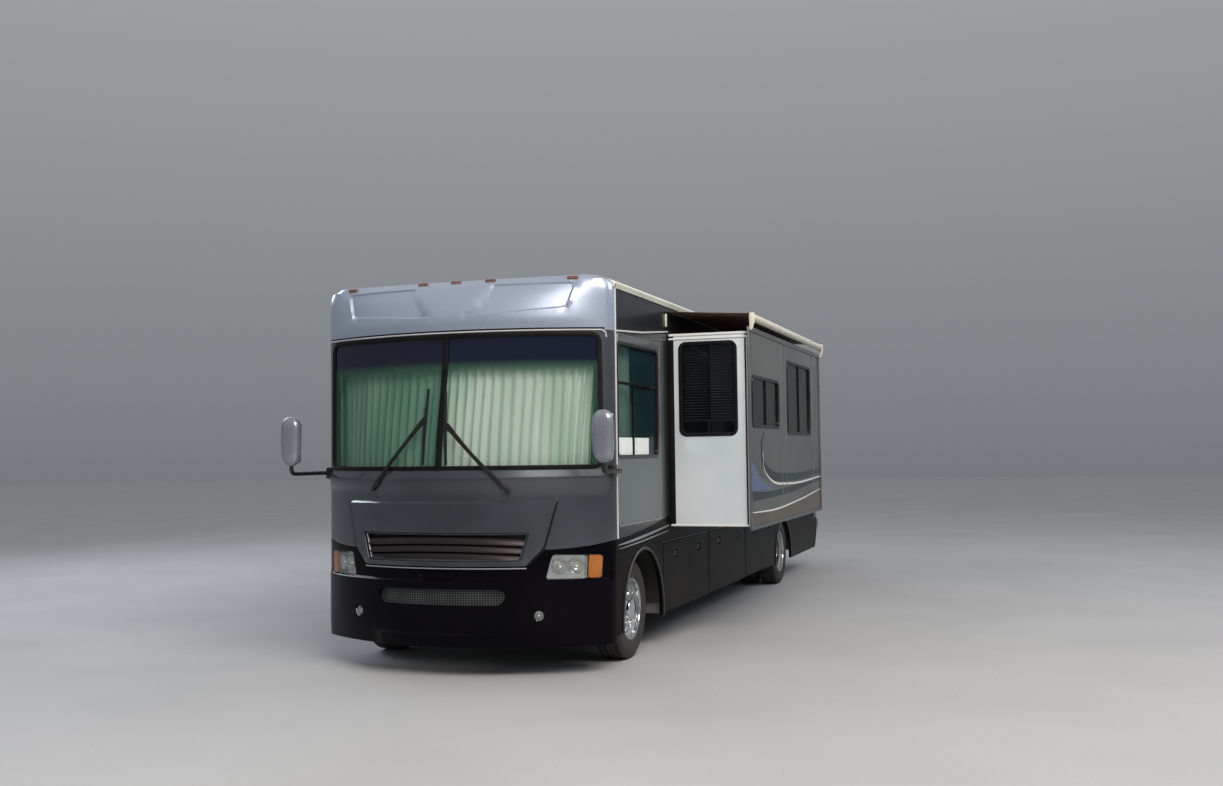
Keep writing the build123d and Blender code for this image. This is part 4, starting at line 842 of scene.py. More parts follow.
piece("window_frames_black", "trim_black", frame_black, *[window_frame(wall, *window) for window in left_windows],
      *[flip(window_frame(wall, *window)) for window in right_windows], node="window_frames")
piece("cab_side_panes", "glass", glass_cab, pair(window_pane(wall, cab_window[0])), node="window_panes")
piece("house_panes", "glass", glass_dark, window_pane(wall, left_windows[1][0]),
      *[flip(window_pane(wall, window)) for window, _ in right_windows[1:]])
piece("house_blinds", "interior", blind_slat, window_blinds(1212, left_windows[1][0]),
      *[window_blinds(-1212, window) for window, _ in right_windows[1:]])
card_white = finish("plain_white_card", "#cdd3d2", "#dae0de", 60, 2, 0.6)
piece("window_cards", "interior", card_white,
      *[panel(wall, rect(*ends, 1702, 1842), (), 500, 1, 0, depth=10.5) for ends in ((690, 1048), (1082, 1500))])

# Slide-out room: a box of laminated panels that rides out on the driver's side, its end wall in
# bright silver, its long side in grey, whose olive tint is a painted reflection of trees, with swept
# dark stripes, and a broad flange round its face.
slide_x, slide_low_y, slide_high_y, slide_low_z, slide_high_z = 2020.0, 2094.0, 5744.0, 1052.0, 2785.0
slide_face, slide_rect = side_at(slide_x), rect(slide_low_y, slide_high_y, slide_low_z, slide_high_z)


def slide_end(x, z, depth):
    """The end wall of the slide-out room, which faces the nose."""
    x, z, depth = alike(x, z, depth)
    return np.stack([x, slide_low_y + depth, z], -1)


silver_slide = finish("bright_silver_end_wall", "#d3dde5", "#e6eef3", 700, 3, 0.2, coat=(0.8, 0.05), Metallic=0.25)
# Grey paint whose olive tint is a painted reflection of trees in the gloss.
slide_side_painted_tree_reflection = finish("glossy_slide_side_grey_painted_tree_reflection", "#434942", "#5a6056", 1100, 3, 0.2, coat=(0.45, 0.03), Metallic=0.45)
slide_windows = [((2200, 3400, 1930, 2400), [((2800, 1950), (2800, 2380))]),
                 ((3850, 5170, 1880, 2635), [((4510, 1900), (4510, 2615))])]
end_window = (1376, 1908, 1860, 2705), [((1404, 1996), (1880, 1996)), ((1642, 1884), (1642, 1990))]
piece("slide_box", "slide_paint", silver_slide,
      panel(slide_end, rect(1165, slide_x - 1, slide_low_z, slide_high_z), [hole(*end_window[0])], 300, 40, 2),
      box(1165, slide_x - 1, slide_high_y - 40, slide_high_y, slide_low_z, slide_high_z),
      *[box(1165, slide_x - 2, slide_low_y + 1, slide_high_y - 1, low, high)
        for low, high in ((slide_low_z, slide_low_z + 50), (slide_high_z - 40, slide_high_z))],
      body="slide_out", node="slide_room")
piece("slide_long_side", "slide_paint", slide_side_painted_tree_reflection,
      panel(slide_face, slide_rect, [hole(*window) for window, _ in slide_windows], 300, 40, 2), body="slide_out")
flange_grey = finish("grey_anodised_flange", "#53585a", "#63686a", 500, 3, 0.3, Metallic=0.5)
piece("slide_flange", "trim_light", flange_grey,
      panel(side_at(2032), rounded(rect(2050, 5788, 1018, 2829), 22, 4), [slide_rect], 400, 18, 5), body="slide_out")
seal_hole = rect(2080, 5758, 1038, 2799)
piece("slide_wiper_seal", "trim_black", rubber,
      panel(side_at(half + 3), hole(2040, 5798, 998, 2838, 18), [seal_hole], 400, 9, 3, depth=-1))
dark_teal = finish("dark_teal_vinyl", "#0a1a1e", "#102429", 500, 2, 0.2, specular=0.3)
field_blue = finish("grey_blue_vinyl", "#56688a", "#64769a", 500, 2, 0.2, Metallic=0.3)
# The brown below the lowest white line is a painted reflection of the sunlit ground in the gloss.
ground_reflection_brown = finish("brown_painted_ground_reflection", "#3b3124", "#52442f", 500, 2, 0.14)
line_white = finish("white_vinyl", "#cfd2d0", "#dadcda", 400, 2, 0.3)
upper_sweep = [(2690, 1895), (2560, 1780), (2570, 1660), (2800, 1535), (3300, 1462), (4300, 1446), (5740, 1480)]
teal_rows = [(upper_sweep, (14, 46, 62, 76, 84, 76, 52)),
             ([(2100, 1318), (2900, 1306), (3900, 1322), (5738, 1392)], (96, 60, 62, 40))]
white_rows = [([(y + 52, z - 66) for y, z in upper_sweep[1:]], (3, 10, 16, 20, 20, 14)),
              ([(2100, 1172), (3114, 1156), (4400, 1196), (5738, 1268)], (8, 15, 15, 8))]
blue_patch = [(2100, 1352), (2100, 1640), (2230, 1590), (2420, 1500), (2700, 1420), (3050, 1350)]
# Outline of the painted ground reflection along the foot of the slide's long side.
ground_reflection_patch = [(2100, 1056), (2100, 1166), (3114, 1150), (4400, 1190), (5738, 1262), (5738, 1056)]
for name, material, shape in (("slide_teal_stripes", dark_teal, stripes(teal_rows, slide_face, 2.0)),
                              ("slide_white_lines", line_white, stripes(white_rows, slide_face, 2.4)),
                              ("slide_blue_field", field_blue, decal(slide_face, blue_patch, lift=1.4)),
                              ("slide_painted_ground_reflection", ground_reflection_brown, decal(slide_face, ground_reflection_patch))):
    piece(name, "slide_paint", material, shape, body="slide_out")
end_rows = [[(2006, 1062), (2006, 1900), (2006, 2730)],
            *[[(1285, z), (1650, z), (2014, z)] for z in (2772, 2738, 1062)]]
piece("slide_inner_seal", "trim_black", rubber,
      strip(slide_end, [(1300, 1056), (1300, 1900), (1300, 2780)], bead(56, 6)), body="slide_out")
piece("slide_end_trims", "trim_light", line_white,
      *[strip(slide_end, row, bead(20, 9)) for row in end_rows], body="slide_out")
piece("slide_side_mouldings", "trim_light", bright,
      *[strip(slide_face, [(y, 1300), (y, 2000), (y, 2780)], bead(16, 5)) for y in (3520, 3740, 5290, 5600)],
      body="slide_out")
piece("slide_frames_black", "trim_black", frame_black, *[window_frame(slide_face, *window) for window in slide_windows],
      window_frame(slide_end, *end_window), body="slide_out", node="slide_window_frames")
piece("slide_panes_dark", "glass", glass_dark, *[window_pane(slide_face, window) for window, _ in slide_windows],
      window_pane(slide_end, end_window[0]), body="slide_out", node="slide_window_panes")
piece("slide_blinds", "interior", blind_slat, *[window_blinds(1955, window) for window, _ in slide_windows],
      *[blinds(x, 2160, 2010, 2690, 222) for x in (1520, 1764)], body="slide_out")


# Lower body: fixed skirt mouldings of gloss black fibreglass round the wheels, a rolled lip round
# each arch, and between them top-hinged bay doors, each with two paddle latches in recessed cups.
def arch(y, z, radius, steps=30):
    """The part of a wheel arch above the skirt's lower edge, from front to rear."""
    end = math.asin((skirt_low - z) / radius)
    return [(y + radius * math.cos(t), z + radius * math.sin(t)) for t in np.linspace(math.pi - end, end, steps)]


skirt_black = finish("gloss_black_skirt", "#080706", "#140f0a", 700, 4, 0.32, specular=0.03)
arch_grey = finish("dark_grey_arch_lip", "#23242a", "#2e2f35", 300, 3, 0.35, Metallic=0.3)
latch_steel = finish("satin_latch_steel", "#8d8f92", "#a3a5a8", 40, 1.5, 0.3, Metallic=1.0)
front_y, dual_y, skirt_low, bay_top, latch_z = 1280, 7280, 290, 930, 800
arches = (front_y, 360, 545), (dual_y, 330, 500)
left_bays = ((1850, 3440), (3450, 5070), (5080, 6730))
right_bays = ((2720, 4040), (4050, 5370), (5380, 6730))
entry_notch = [(2650, 940), (2650, 680), (2632, 638), (2590, 620), (2020, 620), (1978, 638), (1960, 680), (1960, 940)]


def skirt(bays, top):
    """A side's fixed skirts as one outline with the doors' openings cut up from below."""
    line = [(seam_y, skirt_low), *arch(*arches[0])]
    for front, rear in bays:
        line += [(front, skirt_low), (front, bay_top), (rear, bay_top), (rear, skirt_low)]
    line += [*arch(*arches[1]), (wall_rear, skirt_low), (wall_rear, wall_foot), *top, (seam_y, wall_foot)]
    return panel(wall, line, (), 260, 30)


piece("skirt_mouldings", "black_gloss", skirt_black,
      skirt(left_bays, []), flip(skirt(right_bays, entry_notch)), node="skirts")
corner = [(9641, 722), (9641, 300), (9700, 330), (9822, 512), (9822, 722)]
piece("rear_corner_mouldings", "black_gloss", skirt_black, pair(panel(wall, corner, (), 200, 30)))
piece("arch_lips", "trim_black", arch_grey,
      pair(*[strip(wall, arch(y, z, radius + 13), bead(25, 9, -6)) for y, z, radius in arches]))
for side, bays, sided in (("left", left_bays, join), ("right", right_bays, flip)):
    for number, (front, rear) in enumerate(bays, 1):
        door, quarter = f"{side}_bay_door_{number}", (rear - front) / 4
        cup_y = (front + quarter, rear - quarter)
        cups = [hole(y - 60, y + 60, latch_z - 32, latch_z + 32, 16) for y in cup_y]
        skin = panel(wall, rect(front + 6, rear - 6, 300, 924), cups, 260, 30, 8)
        linings = [panel(wall, cup, (), 200, 3, 0, depth=13) for cup in cups]
        piece(door + "_skin", "black_gloss", skirt_black, sided(join(skin, *linings)), body=door, node=door)
        paddles = [panel(wall, inset(cup, 9), (), 200, 9, depth=3) for cup in cups]
        locks = [lathe([(0, 0), (0, 11), (-3, 11), (-5, 8), (-5, 0)], (half + 2, y, latch_z), "x", 20) for y in cup_y]
        piece(door + "_latches", "trim_black", frame_black, sided(join(*paddles, *locks)), body=door)
        hinge = tube([(half - 8, y, 925) for y in (front + 12, rear - 12)], 3.5, 8)
        piece(door + "_hinge", "bare_steel", latch_steel, sided(hinge), body=door)

# Wheels: radial tyres with ribs and shoulder blocks in rubber, on painted steel rims that are hidden
# behind polished stainless covers: a lip, a dish with hand holes, nut caps and a domed hub cap.
axle_z = 415.0
tyre_rubber = finish("tyre_rubber", "#242423", "#31302f", 90, 3, 0.75, 0.3)
cover_chrome = finish("polished_stainless_cover", "#c3c6c9", "#d6d8da", 60, 1.0, 0.08, Metallic=1.0)
side_wall = [(100.5, 250), (104, 254), (109, 258), (109, 263), (113, 272), (119, 292), (122.5, 325), (121.6, 348),
             (117, 371), (113, 382), (106.5, 389), (103, 398), (98, 404), (87, 406)]
ribs = [(57, 406), (57, 415), (30, 415), (30, 404), (21, 404), (21, 415)]
half_profile = [*side_wall, *ribs]
tyre_profile = [*half_profile, *[(-x, r) for x, r in reversed(half_profile)]]
block_count = 56
block_out = [(math.radians(a), r) for a, r in ((-2.1, 402), (-2.4, 415), (2.0, 415), (2.4, 402))]
shoulder = prism([(r * math.sin(a), r * math.cos(a)) for a, r in block_out], "yz", 62, 96, 2.5, 1)


def tyre(x, y):
    turn = (2 * math.pi / block_count, 0, 0)
    return join(lathe(tyre_profile, (x, y, axle_z), "x", 96, True),
                repeated(pair(shoulder), block_count, (x, y, axle_z), turn=turn))


def skin_of(line, thick=2.2):
    """A closed profile for a thin pressed sheet along a line of (along, radius)."""
    line = np.array(line, float)
    return [*line, *(line + thick * square_to(np.gradient(line, axis=0)))[::-1]]


def cover(x, y, face, hub_out):
    """A stainless wheel cover whose dish lies at x + face, with its hub cap out to x + hub_out."""
    dish_line = smooth_curve((90, 110, 160, 176, 214), (face + 6, face + 2, face, face - 2, face - 16))

    def dish(u, v, depth):
        u, v, depth = alike(u, v, depth)
        return np.stack([x + dish_line(np.hypot(u, v)) - depth, y + u, axle_z + v], -1)

    hand_reach, hand_angles = 196, np.radians(np.arange(8) * 45 + 22.5)
    hand_holes = [circle(19, (hand_reach * math.cos(t), hand_reach * math.sin(t)), 20) for t in hand_angles]
    well = [(face - 17, 211), (face - 8, 211.5), (56, 211), (66, 226), (76, 236), (100, 236.5), (107, 240),
            (111, 248), (110, 256), (105, 260)]
    cap_line = [(face - 2, 0), (face - 2, 116), (face + 7, 113), (face + 11, 103), (face + 20, 99.5),
                (hub_out - 14, 98.5), (hub_out - 5, 94), (hub_out - 2, 84), (hub_out, 46), (hub_out + 1, 0)]
    nut = lathe([(0, 0), (0, 16), (5, 16), (7, 12.5), (26, 11.5), (31, 7), (32, 0)], (face - 1, 0, 142), "x", 14)
    return join(panel(dish, circle(213), [circle(92), *hand_holes], 17, 2.5),
                lathe(skin_of(well), (x, y, axle_z), "x", 72, True), lathe(cap_line, (x, y, axle_z), "x", 56),
                repeated(nut, 10, (x, y, axle_z), turn=(math.radians(36), 0, 0)))


front_x, inner_x, outer_x = 1052.0, 835.0, 1115.0
front_tyre, rear_tyres = tyre(front_x, front_y), join(tyre(inner_x, dual_y), tyre(outer_x, dual_y))
front_cover, rear_cover = cover(front_x, front_y, 65, 124), cover(outer_x, dual_y, -70, 66)
for side, sided in (("left", join), ("right", flip)):
    front, rear = side + "_front_", side + "_rear_"
    for place, wheels, tyres, shape in ((front, "wheel", "tyre", front_tyre), (rear, "wheels", "tyres", rear_tyres)):
        piece(f"{place}tread_{tyres}", "tyre", tyre_rubber, sided(shape),
              body=place + wheels, node=place + tyres, crease=25)
    piece(front + "cover", "chrome", cover_chrome, sided(front_cover), body=front + "wheel")
    piece(rear + "cover", "chrome", cover_chrome, sided(rear_cover), body=rear + "wheels")


# Rear: moulded tail lamps in black bezels and a blank number plate on four screws. The cap and the
# ladder keep their CAD shape and get their finishes further down.
def rear_face(x, z, depth):
    """The rear cap's outside, flat between its rounded corners; its coordinates are X and Z."""
    x, z, depth = alike(x, z, depth)
    bend = np.arcsin(np.clip((np.abs(x) - 1105) / 170, 0, 1))
    return np.stack([np.copysign(np.abs(x) - depth * np.sin(bend), x), 9810 + (170 - depth) * np.cos(bend), z], -1)


lens_colours = ((1156, 1330, "red_lens", "#7d0f12", "#a51519"), (1336, 1450, "clear_lens", "#b9bdbf", "#cfd2d4"),
                (1456, 1580, "amber_lens", "#b0560f", "#c96a1a"), (1586, 1744, "upper_red_lens", "#7d0f12", "#a51519"))
lens_rings = [counter(rounded(rect(1050, 1160, low, high), 26)) for low, high, *_ in lens_colours]
piece("tail_lamp_bezels", "trim_black", frame_black,
      pair(flip(panel(rear_face, hole(1045, 1165, 1150, 1750, 36), lens_rings, 60, 30, depth=-5))), node="tail_lights")
for (_, _, lens_name, *codes), ring in zip(lens_colours, lens_rings):
    plastic = finish(lens_name, *codes, 60, 6, 0.12, 0.6, (1, 1, 0.05))
    lens = flip(panel(rear_face, inset(ring, 1), (), 40, 20, 5, depth=-4))
    piece("tail_" + lens_name, "tail_lamp", plastic, pair(lens))
plate_white = finish("blank_number_plate", "#d9dad6", "#e4e5e1", 90, 2, 0.35)
piece("rear_number_plate", "trim_light", plate_white, box(-152, 152, 9980.2, 9983, 824, 976, 1.2))
piece("rear_plate_screws", "bare_steel", latch_steel,
      *[lathe([(-1, 0), (-1, 7), (1.5, 6), (3, 0)], (x, 9983, z), "y", 16) for x in (-89, 89) for z in (839.5, 960.5)])

# Slide topper: a cream roller between two cast brackets on the slide-out's top edge, and
# the woven vinyl cloth that runs back to a rail on the wall, pulled tight by the roller's spring.
roller_x, roller_z, slide_mid_y = slide_x + 32, 2905.0, (slide_low_y + slide_high_y) / 2
bracket_cream = finish("cream_powder_coat", "#c4c1b4", "#d2cfc2", 160, 3, 0.45, 0.05)
topper_weave = finish("brown_woven_vinyl", "#4c3a2a", "#594634", 260, 4, 0.6, 0.25, **{
    "Subsurface Weight": 0.9, "Subsurface Radius": (1.0, 0.7, 0.5), "Subsurface Scale": 0.004})
roll_line = [(-1830, 0), (-1830, 24), (-1822, 31), (-1800, 34), (1800, 34), (1822, 31), (1830, 24), (1830, 0)]
piece("topper_roll", "topper_cloth", bracket_cream, lathe(roll_line, (roller_x, slide_mid_y, roller_z), "y", 32),
      body="slide_out", node="topper_roller")
cheek = rounded([(2035, 2790), (2060, 2790), (2082, 2868), (2082, 2944), (2035, 2944)], 12, 4)
piece("topper_brackets", "topper_cloth", bracket_cream,
      *[prism(cheek, "xz", y, y + 19, 3) for y in (2064.5, 5754.5)],
      *[lathe([(-3, 0), (-3, 9), (2, 9), (4, 5), (4, 0)], (roller_x, y, roller_z), "y", 6) for y in (2063, 5775)],
      body="slide_out")
piece("topper_wall_caps", "trim_light", bracket_cream,
      *[box(half + 0.5, half + 16, y, y + 26, 2846, 2962, 4) for y in (2000, 5812)])
cloth_from, cloth_to = (half + 3, 2993.0), (roller_x - 14, roller_z + 36)
cloth_wide, cloth_rows, cloth_columns = 3650.0, 29, 61


def grid(rows, columns):
    """Shares from 0 to 1 down and across a grid of points."""
    return [share.ravel() for share in np.meshgrid(np.linspace(0, 1, rows), np.linspace(0, 1, columns), indexing="ij")]


def cloth(lift):
    """Points of the topper's cloth, sagging a little between the rail and the roller."""
    t, w = grid(cloth_rows, cloth_columns)
    sag = np.sin(math.pi * t) * (3 + 2 * np.sin(math.pi * w) - 1.2 * np.sin(9 * math.pi * w))
    return np.c_[cloth_from[0] + t * (cloth_to[0] - cloth_from[0]), slide_low_y + w * cloth_wide,
                 cloth_from[1] + t * (cloth_to[1] - cloth_from[1]) - sag + lift]


topper = piece("topper_cloth", "topper_cloth", topper_weave,
               sheet(cloth(0), cloth(1.5), weave(cloth_rows, cloth_columns)), node="topper_fabric")
topper.parent = None
math.dist(cloth_from, cloth_to) / 1000
start, end = [[(c + o) / 1000 for c, o in zip((x, 4000, 2960), origin)] for x in (cloth_from[0], cloth_to[0])]
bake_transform(topper)
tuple(start)
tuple(end)

# Patio awning, rolled up on the passenger side: acrylic cloth wound on a tube, its valance hanging
# below, with a casting at each end and a rail on the wall.
awning_x, awning_z, awning_mid_y = -(half + 56), 2890.0, 4725
awning_cloth = finish("charcoal_acrylic_cloth", "#26292b", "#34373a", 200, 4, 0.8, 0.3, (1, 0.2, 1))
wound = [(-2672, 0), (-2672, 30), (-2670, 46), (-2600, 50), (2600, 50), (2670, 46), (2672, 30), (2672, 0)]
valance = [(awning_x - 38, 2858), (awning_x - 40, 2800), (awning_x - 37, 2800), (awning_x - 35, 2862)]
piece("awning_roll", "topper_cloth", awning_cloth, lathe(wound, (awning_x, awning_mid_y, awning_z), "y", 36),
      prism(valance, "xz", 2062, 7388, 0.5, 1), node="patio_awning")
rail = strip(wall, [(2050, 2952), (4700, 2952), (7400, 2952)], [(-10, -1), (10, -1), (10, 10), (3, 14), (-10, 12)])
casting = rounded(rect(-half - 98, -half - 1, 2834, 2946), 20, 4)
piece("awning_arms", "white_plastic", bracket_cream, flip(rail),
      *[prism(casting, "xz", y, y + 36, 4) for y in (2012, 7402)])

# Entry door: a laminated leaf in an aluminium frame, painted to match the wall, with a tinted
# window and a lever handle in a cast plate, and a grab rail on the wall beside it.
door_ring, door_hole = hole(1966, 2644, 626, 2634, 54), hole(2090, 2520, 1850, 2450, 50)
leaf_field = rounded(rect(1996, 2614, 1152, 2560), 20, 4)
leaf_band = [(1990, 1120), (2620, 1120), (2620, 690), (2590, 650), (2020, 650), (1990, 690)]
piece("entry_door_leaf", "side_paint", charcoal_wall, flip(panel(wall, door_ring, [door_hole], 240, 40)),
      body="entry", node="entry_door")
piece("entry_door_field", "side_paint", grey_field, flip(decal(wall, leaf_field, [inset(door_hole, -4)])), body="entry")
piece("entry_door_band", "black_gloss", black_body, flip(decal(wall, leaf_band)), body="entry")
leaf_trims = join(strip(wall, inset(door_ring, 10), bead(16, 5), closed=True),
                  strip(wall, inset(door_hole, -12), bead(24, 6), closed=True),
                  strip(wall, [(1994, 1136), (2300, 1136), (2616, 1136)], bead(14, 5)))
handle = join(prism(rounded(rect(2544, 2596, 1484, 1636), 14, 4), "yz", half - 2, half + 6),
              prism(rounded(rect(2552, 2588, 1556, 1626), 10, 4), "yz", half + 5, half + 20, 4),
              lathe([(0, 0), (0, 13), (5, 12), (7, 9), (7, 0)], (half + 5, 2570, 1518), "x", 24))
piece("entry_door_trims", "trim_light", bright, flip(leaf_trims), body="entry")
piece("entry_door_lever", "trim_black", frame_black, flip(handle), body="entry")
piece("entry_door_pane", "glass", glass_dark, flip(panel(wall, inset(door_hole, 2), (), 300, 6, 0, depth=13)),
      body="entry", node="entry_door_glass")
grab = [(2, 1300), (52, 1316), (56, 1340), (56, 1900), (52, 1924), (2, 1940)]
piece("entry_grab_rail", "trim_light", bright, flip(tube([(half + out, 2700, z) for out, z in grab], 13, 14)))

# Curtains: pleated polyester cloth that hangs from a track, drawn shut behind the windscreen and
# behind part of each side window. Each is cut 1.2 to 1.4 times as wide as the space it fills. The
# one cloth is given two colours: a pale one for the sunlit driver's half of the windscreen, and a
# darker, greener copy of the same cloth that is painted shade.
curtain_cloth, curtain_painted_shade = [finish(name, *codes, 420, 2, 0.85, 0.15, (1, 1, 0.1)) for name, *codes in (
    ("pale_green_polyester_cloth", "#c6e2d4", "#fafffc"), ("shaded_green_polyester_cloth", "#6a9584", "#a0c6b5"))]


def curtain(name, surface, start, end, low, high, pleat, swing, material, node=None):
    """A gathered curtain of uneven pleats on a surface."""
    rows, columns = 19, int((end - start) / pleat * 12) + 1
    drop, t = grid(rows, columns)
    u, z = start + t * (end - start), high + (low - high) * drop
    phase = 2 * math.pi * (u - start) / pleat + 1.3 * np.sin(u / 190) + 0.35 * np.sin(u / 67 + 3 * drop)
    wave = swing * (0.8 + 0.2 * np.sin(u / 131)) * (0.7 + 0.3 * drop ** 0.5) * np.sin(phase)
    front, back = [surface(u, z, depth + wave) for depth in (85, 86.2)]
    hung = piece(name, "curtain_cloth", material, sheet(front, back, weave(rows, columns)), node=node, crease=60)


curtain("screen_curtain_left", nose, -22, 1240, 1596, 2662, 78, 21, curtain_cloth, "curtains")
# The passenger's half of the windscreen and both side curtains take the copy of the cloth with painted shade.
curtain("screen_curtain_right", nose, -1200, -30, 1596, 2662, 78, 20, curtain_painted_shade)
curtain("side_curtain_left", wall, 690, 1180, 1640, 2640, 70, 19, curtain_painted_shade)
curtain("side_curtain_right", lambda y, z, depth: wall(y, z, depth) * (-1, 1, 1), 580, 1780, 1640, 2640, 76, 20,
        curtain_painted_shade)

# Cab furniture: the steering wheel's rim of stitched leather round a steel ring, three spokes and a
# horn pad, and captain's chairs of foam cushions under leather on a steel pedestal.
wheel_leather = finish("black_wheel_leather", "#141414", "#1d1c1b", 60, 2, 0.5, 0.2)
column = Matrix.Translation((620, 690, 1560)) @ Matrix.Rotation(math.radians(-55), 4, "X")
rim_ring = lathe([(along, radius) for radius, along in circle(15, (215, 0), 16)], steps=72, closed=True)
hub_pad = lathe([(-18, 0), (-18, 56), (6, 60), (16, 52), (19, 24), (20, 0)], steps=40)
spokes = [turned(box(45, 207, -15, 15, -6, 6, 5, 3), Matrix.Rotation(math.radians(angle), 4, "Z"))
          for angle in (0, 120, 240)]
piece("helm_wheel", "interior", wheel_leather, turned(join(rim_ring, hub_pad, *spokes), column),
      body="helm", node="steering_wheel")
seat_leather = finish("grey_taupe_seat_leather", "#59544d", "#6a645c", 120, 3, 0.5, 0.35)
seat_steel = finish("black_powder_coated_pedestal", "#101010", "#191919", 90, 3, 0.5, 0.05)
back_place = Matrix.Translation((0, 1470, 1390)) @ Matrix.Rotation(math.radians(-12), 4, "X")
pads = {
    "seat_cushion": box(-248, 248, 978, 1472, 1318, 1436, 34, 4),
    "seat_back": turned(box(-248, 248, -54, 54, 22, 702, 34, 4), back_place),
    "seat_head_rest": turned(box(-138, 138, -44, 44, 712, 868, 30, 4), back_place),
}
blow_steps, blow_force, blow_most, even_size = 20, 4.0, 0.012, 0.012


def cushion(name, shape, node):
    """A padded piece: its skin remeshed evenly, blown up by cloth pressure, and capped."""
    made = piece(name, "seat_leather", seat_leather, shape, node=node, crease=180)

    def applied():
        shaped = bpy.data.meshes.new_from_object(made.evaluated_get(bpy.context.evaluated_depsgraph_get()))
        made.modifiers.clear()
        return shaped, np.array([v.co for v in shaped.vertices])

    remesh = made.modifiers.new("even", "REMESH")
    remesh.mode, remesh.voxel_size = "VOXEL", even_size
    made.data, before = applied()
    blown = made.modifiers.new("blown", "CLOTH")
    blown.settings.use_pressure = True
    blown.settings.uniform_pressure_force = blow_force
    blown.settings.effector_weights.gravity = 0.0
    blown.point_cache.frame_start, blown.point_cache.frame_end = 1, blow_steps
    for step in range(1, blow_steps + 1):
        bpy.context.scene.frame_set(step)
    swollen, after = applied()
    bpy.context.scene.frame_set(1)
    shift = after - before
    size = np.linalg.norm(shift, axis=1)
    shift *= np.minimum(1.0, blow_most / np.maximum(size, 1e-9))[:, None]
    for vertex, place in zip(swollen.vertices, before + shift):
        vertex.co = place
    made.data = swollen
    made.data.materials.clear()
    made.data.materials.append(seat_leather)
    made.data.shade_smooth()
    smooth = made.modifiers.new("smooth", "SUBSURF")
    smooth.levels = smooth.render_levels = 1


furniture = []
for side, x in (("left", 620), ("right", -620)):
    for pad_name, shape in pads.items():
        node = "cab_seats" if (side, pad_name) == ("left", "seat_cushion") else None
        cushion(f"{pad_name}_{side}", ([(x + out, y, z) for out, y, z in shape[0]], shape[1]), node)
    furniture.append(box(x - 170, x + 170, 1080, 1400, 1001, 1306, 10, 3))
    furniture += [box(x + out - 26, x + out + 26, 1100, 1470, 1636, 1684, 14, 3) for out in (-228, 228)]
    furniture += [tube([(x + out, 1455, 2030), (x + out, 1478, 2120)], 6, 10) for out in (-60, 60)]
piece("seat_pedestals", "interior", seat_steel, *furniture)

# Pieces whose CAD shape is right keep it and get the finish of the real part: the roof membrane and
# its covers, the caps, the chassis and running gear, and what shows inside the cab.
kept_finishes = (
    (finish("white_rubber_roof_membrane", "#d4d3cc", "#dfded8", 700, 5, 0.65, 0.3), "roof"),
    (cap_paint, "rear_cap"),
    (finish("gloss_black_rear_bumper", "#0c0b0b", "#14110e", 600, 4, 0.18), "rear_bumper"),
    (finish("moulded_polar_white_abs", "#d9dad6", "#e3e4e0", 400, 2, 0.4, 0.05), "roof_units"),
    (finish("bright_anodised_ladder_tube", "#a9acaf", "#bbbec0", 160, 2, 0.25, Metallic=0.9), "ladder"),
    (finish("sealed_birch_plywood", "#6b5a44", "#7d6a51", 700, 8, 0.6, 0.2, (1, 0.08, 1)), "floor"),
    (finish("grey_roto_moulded_bay_liner", "#4b4d4e", "#585a5b", 240, 4, 0.6, 0.3), "storage_bays"),
    (finish("black_textured_wheel_liner", "#0d0d0d", "#171614", 120, 4, 0.85, 0.6), "wheel_wells"),
    (finish("ribbed_black_step_mat", "#161616", "#222222", 100, 7, 0.75, 0.9, (1, 0.1, 1)), "entry_steps"),
    (finish("black_chassis_paint", "#131313", "#1f1d1b", 300, 6, 0.55, 0.2),
     "chassis_frame", "rear_axle", "front_axle"),
    (finish("painted_cast_iron_block", "#34373a", "#45484a", 160, 5, 0.6, 0.4, Metallic=0.4), "engine"),
    (finish("aluminised_steel_pipe", "#77746e", "#8d897f", 140, 3, 0.42, 0.1, Metallic=0.9), "exhaust"),
    (finish("oiled_forged_steel", "#3a3835", "#4c4843", 90, 4, 0.5, 0.3, Metallic=0.7),
     "driveshaft", "left_knuckle", "right_knuckle"),
    (finish("black_polyethylene_tank", "#101011", "#1a1a1b", 180, 6, 0.6, 0.5), "fuel_tank"),
    (finish("grey_spring_steel", "#2c2b2a", "#3b3733", 120, 5, 0.55, 0.2, Metallic=0.6), "leaf_springs"),
    (finish("silver_painted_steel_rim", "#8d9093", "#9da0a2", 120, 3, 0.4, Metallic=0.6),
     "left_front_rim", "right_front_rim", "left_rear_rims", "right_rear_rims"),
    (finish("taupe_vinyl_dash_skin", "#4a4640", "#57524b", 220, 3, 0.6, 0.35), "dash"),
)
for kept_finish, *names in kept_finishes:
    for name in names:
        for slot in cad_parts[name].material_slots:
            slot.material = kept_finish

# Roof details: lap sealant along the membrane's seams, screws round the vents, and louvre slots moulded
# in each air conditioner's cover.
sealant = finish("white_lap_sealant", "#c9c8c0", "#d8d7cf", 60, 3, 0.5, 0.8)
roof_edge_x, roof_edge_z, roof_crown_z = 1125.0, 3116.0, 3130.0
vents, conditioners_y = ((300, 4600), (-300, 6300), (250, 9000)), (2900, 7900)


def bead_on_roof(line, lift, closed=False):
    """A bead of sealant along X, Y points of the crowned roof."""
    fall = (roof_crown_z - roof_edge_z) / roof_edge_x
    return tube([(x, y, roof_crown_z - fall * abs(x) + lift) for x, y in line], 9, 8, closed)


